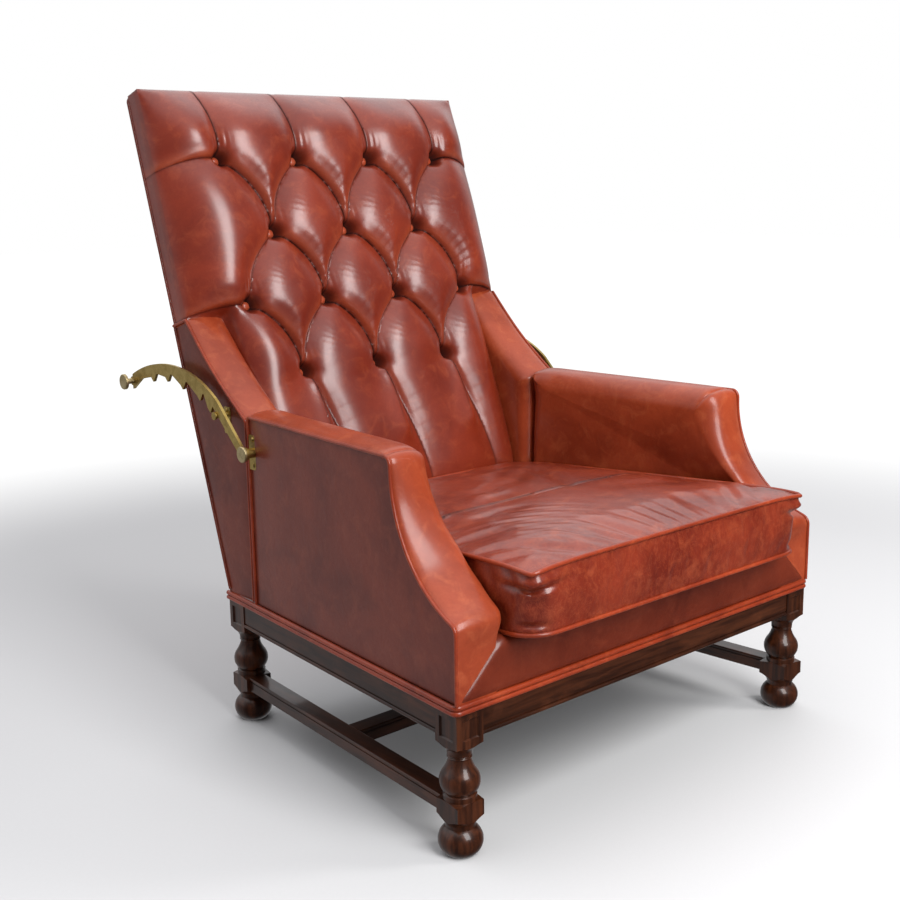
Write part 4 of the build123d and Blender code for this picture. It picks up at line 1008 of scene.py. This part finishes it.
def make_cushion():
    """The boxed cushion: its case cut square, stuffed, made finer, and creased."""
    cells, steps = 84, 16
    spots, shares = [], []

    def lay(across, share):
        x, y = cushion_plan(across, share)
        spots.extend(zip(x, y))
        shares.extend(zip(across, share))
        return x, y, deck(y) + cushion_thick

    piece = grid_piece("seat_cushion_hide", cells, cells, lay)
    edit(piece, "FACE")
    for _ in range(steps):
        bpy.ops.mesh.extrude_region_move(TRANSFORM_OT_translate={"value": (0, 0, -cushion_thick / steps)})
    bpy.ops.mesh.select_all(action="SELECT")
    bpy.ops.mesh.normals_make_consistent(inside=False)
    bpy.ops.object.mode_set(mode="OBJECT")
    places = places_of(piece)
    level = (places[:, 2] - deck(places[:, 1])) / cushion_thick
    finder = KDTree(len(spots))
    for index, (x, y) in enumerate(spots):
        finder.insert((x, y, 0), index)
    finder.balance()
    cut = np.array([shares[finder.find((x, y, 0))[1]] for x, y, _ in places])
    corner = top_corner + (bottom_corner - top_corner) * (1 - np.clip(level, 0, 1)) ** 0.7
    places[:, 0], places[:, 1] = cushion_plan(cut[:, 0], cut[:, 1], corner)
    places[:, 2] = deck(places[:, 1]) + level * (cushion_thick - corner_dip(cut[:, 0], cut[:, 1]))
    side = np.abs(cut * 2 - 1)
    top, wall = level > 0.99, side.max(axis=1) > 0.999
    places[:, 2] += np.where(top, 0.009 * domed(side), 0)
    put(piece, places)
    seam = (top & wall) | (level < 0.01)
    places = stuff(piece, places.copy(), np.flatnonzero(seam), 1.8, 0.015)
    for name, values in (("cut_across", cut[:, 0]), ("cut_share", cut[:, 1]), ("cut_level", level)):
        mark(piece, name, values)
    put(piece, places)
    alone(piece)
    bpy.ops.object.shade_smooth_by_angle(angle=math.radians(60))
    bpy.ops.object.modifier_add(type="SUBSURF")
    finer = piece.modifiers[-1]
    finer.levels = finer.render_levels = 1
    bpy.ops.object.modifier_apply(modifier=finer.name)
    press_creases(piece)
    return piece


cushion = make_cushion()
dress(cushion, "base", seat_hide, "cognac_leather", "seat_cushion")
forth, back_again = np.linspace(0, 1, 61)[:-1], np.linspace(1, 0, 61)[:-1]
low_end, high_end = np.zeros(len(forth)), np.ones(len(forth))
loop_across = np.concatenate([forth, high_end, back_again, low_end])
loop_share = np.concatenate([low_end, forth, high_end, back_again])
for name, height, corner in (("seat_cushion_top_piping", cushion_thick, top_corner),
                             ("seat_cushion_bottom_piping", 0.0025, bottom_corner)):
    edge_x, edge_y = cushion_plan(loop_across, loop_share, corner)
    tops = height - corner_dip(loop_across, loop_share) * height / cushion_thick
    ring = [(x * 1.004, y - 0.001, deck(y) + z) for x, y, z in zip(edge_x, edge_y, tops)]
    dress(piping(name, ring, cushion_cord, True), "base", cord_hide, "piping_leather")


# Front border and welt.
def border(across, share):
    """Up the front, over the roll, and a little way back under the cushion; mitred to the arms."""
    rise, roll = 0.0605, 0.0145
    run = share * 0.110
    turn = np.clip((run - rise) / roll, 0, math.pi / 2)
    back = np.maximum(0, run - rise - roll * math.pi / 2)
    z = seat_line + np.minimum(run, rise) + roll * np.sin(turn) - 0.06 * back
    half = 0.3930 - 0.0755 * np.clip((z - seat_line) / 0.073, 0, 1)
    half = np.where(back > 0, 0.3175, half)
    x = (across * 2 - 1) * half
    rim = (half - np.abs(x)) * 0.7
    proud = 1 - np.exp(-(rim / 0.0032) ** 1.2)
    ends = 1 - np.exp(-(z - seat_line) / 0.004)
    y = -0.4195 - 0.0042 * proud * ends + roll * (1 - np.cos(turn)) + back
    return x, y, z


front_border = grid_piece("front_border_hide", 180, 30, border)
dress(front_border, "base", border_hide_painted_shade, "cognac_leather", "front_border")


def welt(name, z, out=0.0012):
    """A cord on the rail, from the rear of one side round the front to the rear of the other."""
    left = [(-side_x(rear_y) - out, rear_y, z), (-side_x(front_y) - out, front_y + 0.008, z)]
    bend = [(-half_front - out + 0.008 * (1 - math.cos(a)), front_y - out + 0.008 * (1 - math.sin(a)), z)
            for a in np.linspace(0.2, 1.37, 5)]
    half = left + bend
    ring = half + [(-x, y, z) for x, y, z in half[::-1]]
    return piping(name, along(ring, 0.012), welt_cord)


dress(welt("upper_welt_cord", 0.2209), "base", cord_hide, "piping_leather", "base_welt")
dress(welt("lower_welt_cord", 0.2131), "base", cord_hide, "piping_leather")

# The frame's own nodes keep their shapes and get their finishes.
finishes = {"webbing": jute, "dust_cover": hessian, "platform": hessian, "hinge": iron, "knob": brass_disc,
            "ratchet": brass, "catch": brass, "pivot": brass_disc, "bracket": brass}
for node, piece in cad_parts.items():
    finish = next((made for word, made in finishes.items() if word in node), None)
    if finish is None:
        low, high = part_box(node)
        reach = [b - a for a, b in zip(low, high)]
        inside = any(word in node for word in ("frame", "stile", "corner", "back_"))
        finish = (pale_wood if inside else dark_wood)["xyz"[reach.index(max(reach))]]
    if not piece.data.materials:
        piece.data.materials.append(finish)
    for spot in piece.material_slots:
        spot.material = finish


def set_stage():
    """A pale floor that fades into white, and a soft room that only the leather and brass see."""
    bpy.ops.object.select_all(action="DESELECT")
    bpy.ops.mesh.primitive_plane_add(size=30, location=(0, 0, 0))
    floor = bpy.context.object
    floor.name = "studio_floor"
    f = Finish("pale_floor")
    spot = f.node("ShaderNodeTexCoord", output="Object")
    far = f.node("ShaderNodeVectorMath", {"operation": "LENGTH"}, {0: spot}, 1)
    away = f.step(far, 1.4, 2.6)
    grit = f.noise(spot, 160.0, 4.0, 0.7) * 0.12
    colour = f.mix(away, f.mix(grit, shade((194, 194, 195)), shade((156, 156, 157))), (0, 0, 0, 1))
    glow = f.mix(away, (0, 0, 0, 1), (1, 1, 1, 1))
    floor.data.materials.append(f.surface(Base_Color=colour, Roughness=0.6, Emission_Color=glow,
                                          Emission_Strength=1.0, Specular_IOR_Level=0.2))
    floor.visible_glossy = False
    w = Finish("studio", "worlds")
    scene.world = w.owner
    towards = w.node("ShaderNodeTexCoord", output="Generated")

    def ramp(axis, start, end, low, high):
        facing = w.node("ShaderNodeSeparateXYZ", None, {0: towards}, axis)
        ends = {"Value": facing, "From Min": start, "From Max": end, "To Min": low, "To Max": high}
        return w.node("ShaderNodeMapRange", {"interpolation_type": "SMOOTHSTEP"}, ends)

    wall = ramp("Y", -0.3, 0.45, 0.14, 1.0) * ramp("Z", 0.12, 0.42, 0.42, 1.15)
    bright = wall + ramp("Z", 0.62, 0.95, 0.0, 1.0)
    room = w.node("ShaderNodeBackground", None, {"Color": (0.98, 0.98, 1.0, 1), "Strength": bright})
    white = w.node("ShaderNodeBackground", None, {"Color": (1, 1, 1, 1)})
    seen = w.node("ShaderNodeLightPath", output="Is Camera Ray")
    either = w.node("ShaderNodeMixShader", None, {0: seen, 1: room, 2: white})
    w.node("ShaderNodeOutputWorld", None, {"Surface": either})
    scene.view_settings.view_transform = "Standard"


soft_box("key_light", (0.62, -0.62, 0.50), 2.6, 0.5, 1.0, 26, (1.0, 0.985, 0.96), False)
soft_box("window_light", (-0.10, -0.80, 0.58), 2.6, 1.15, 2.2, 92)
set_stage()
set_camera()
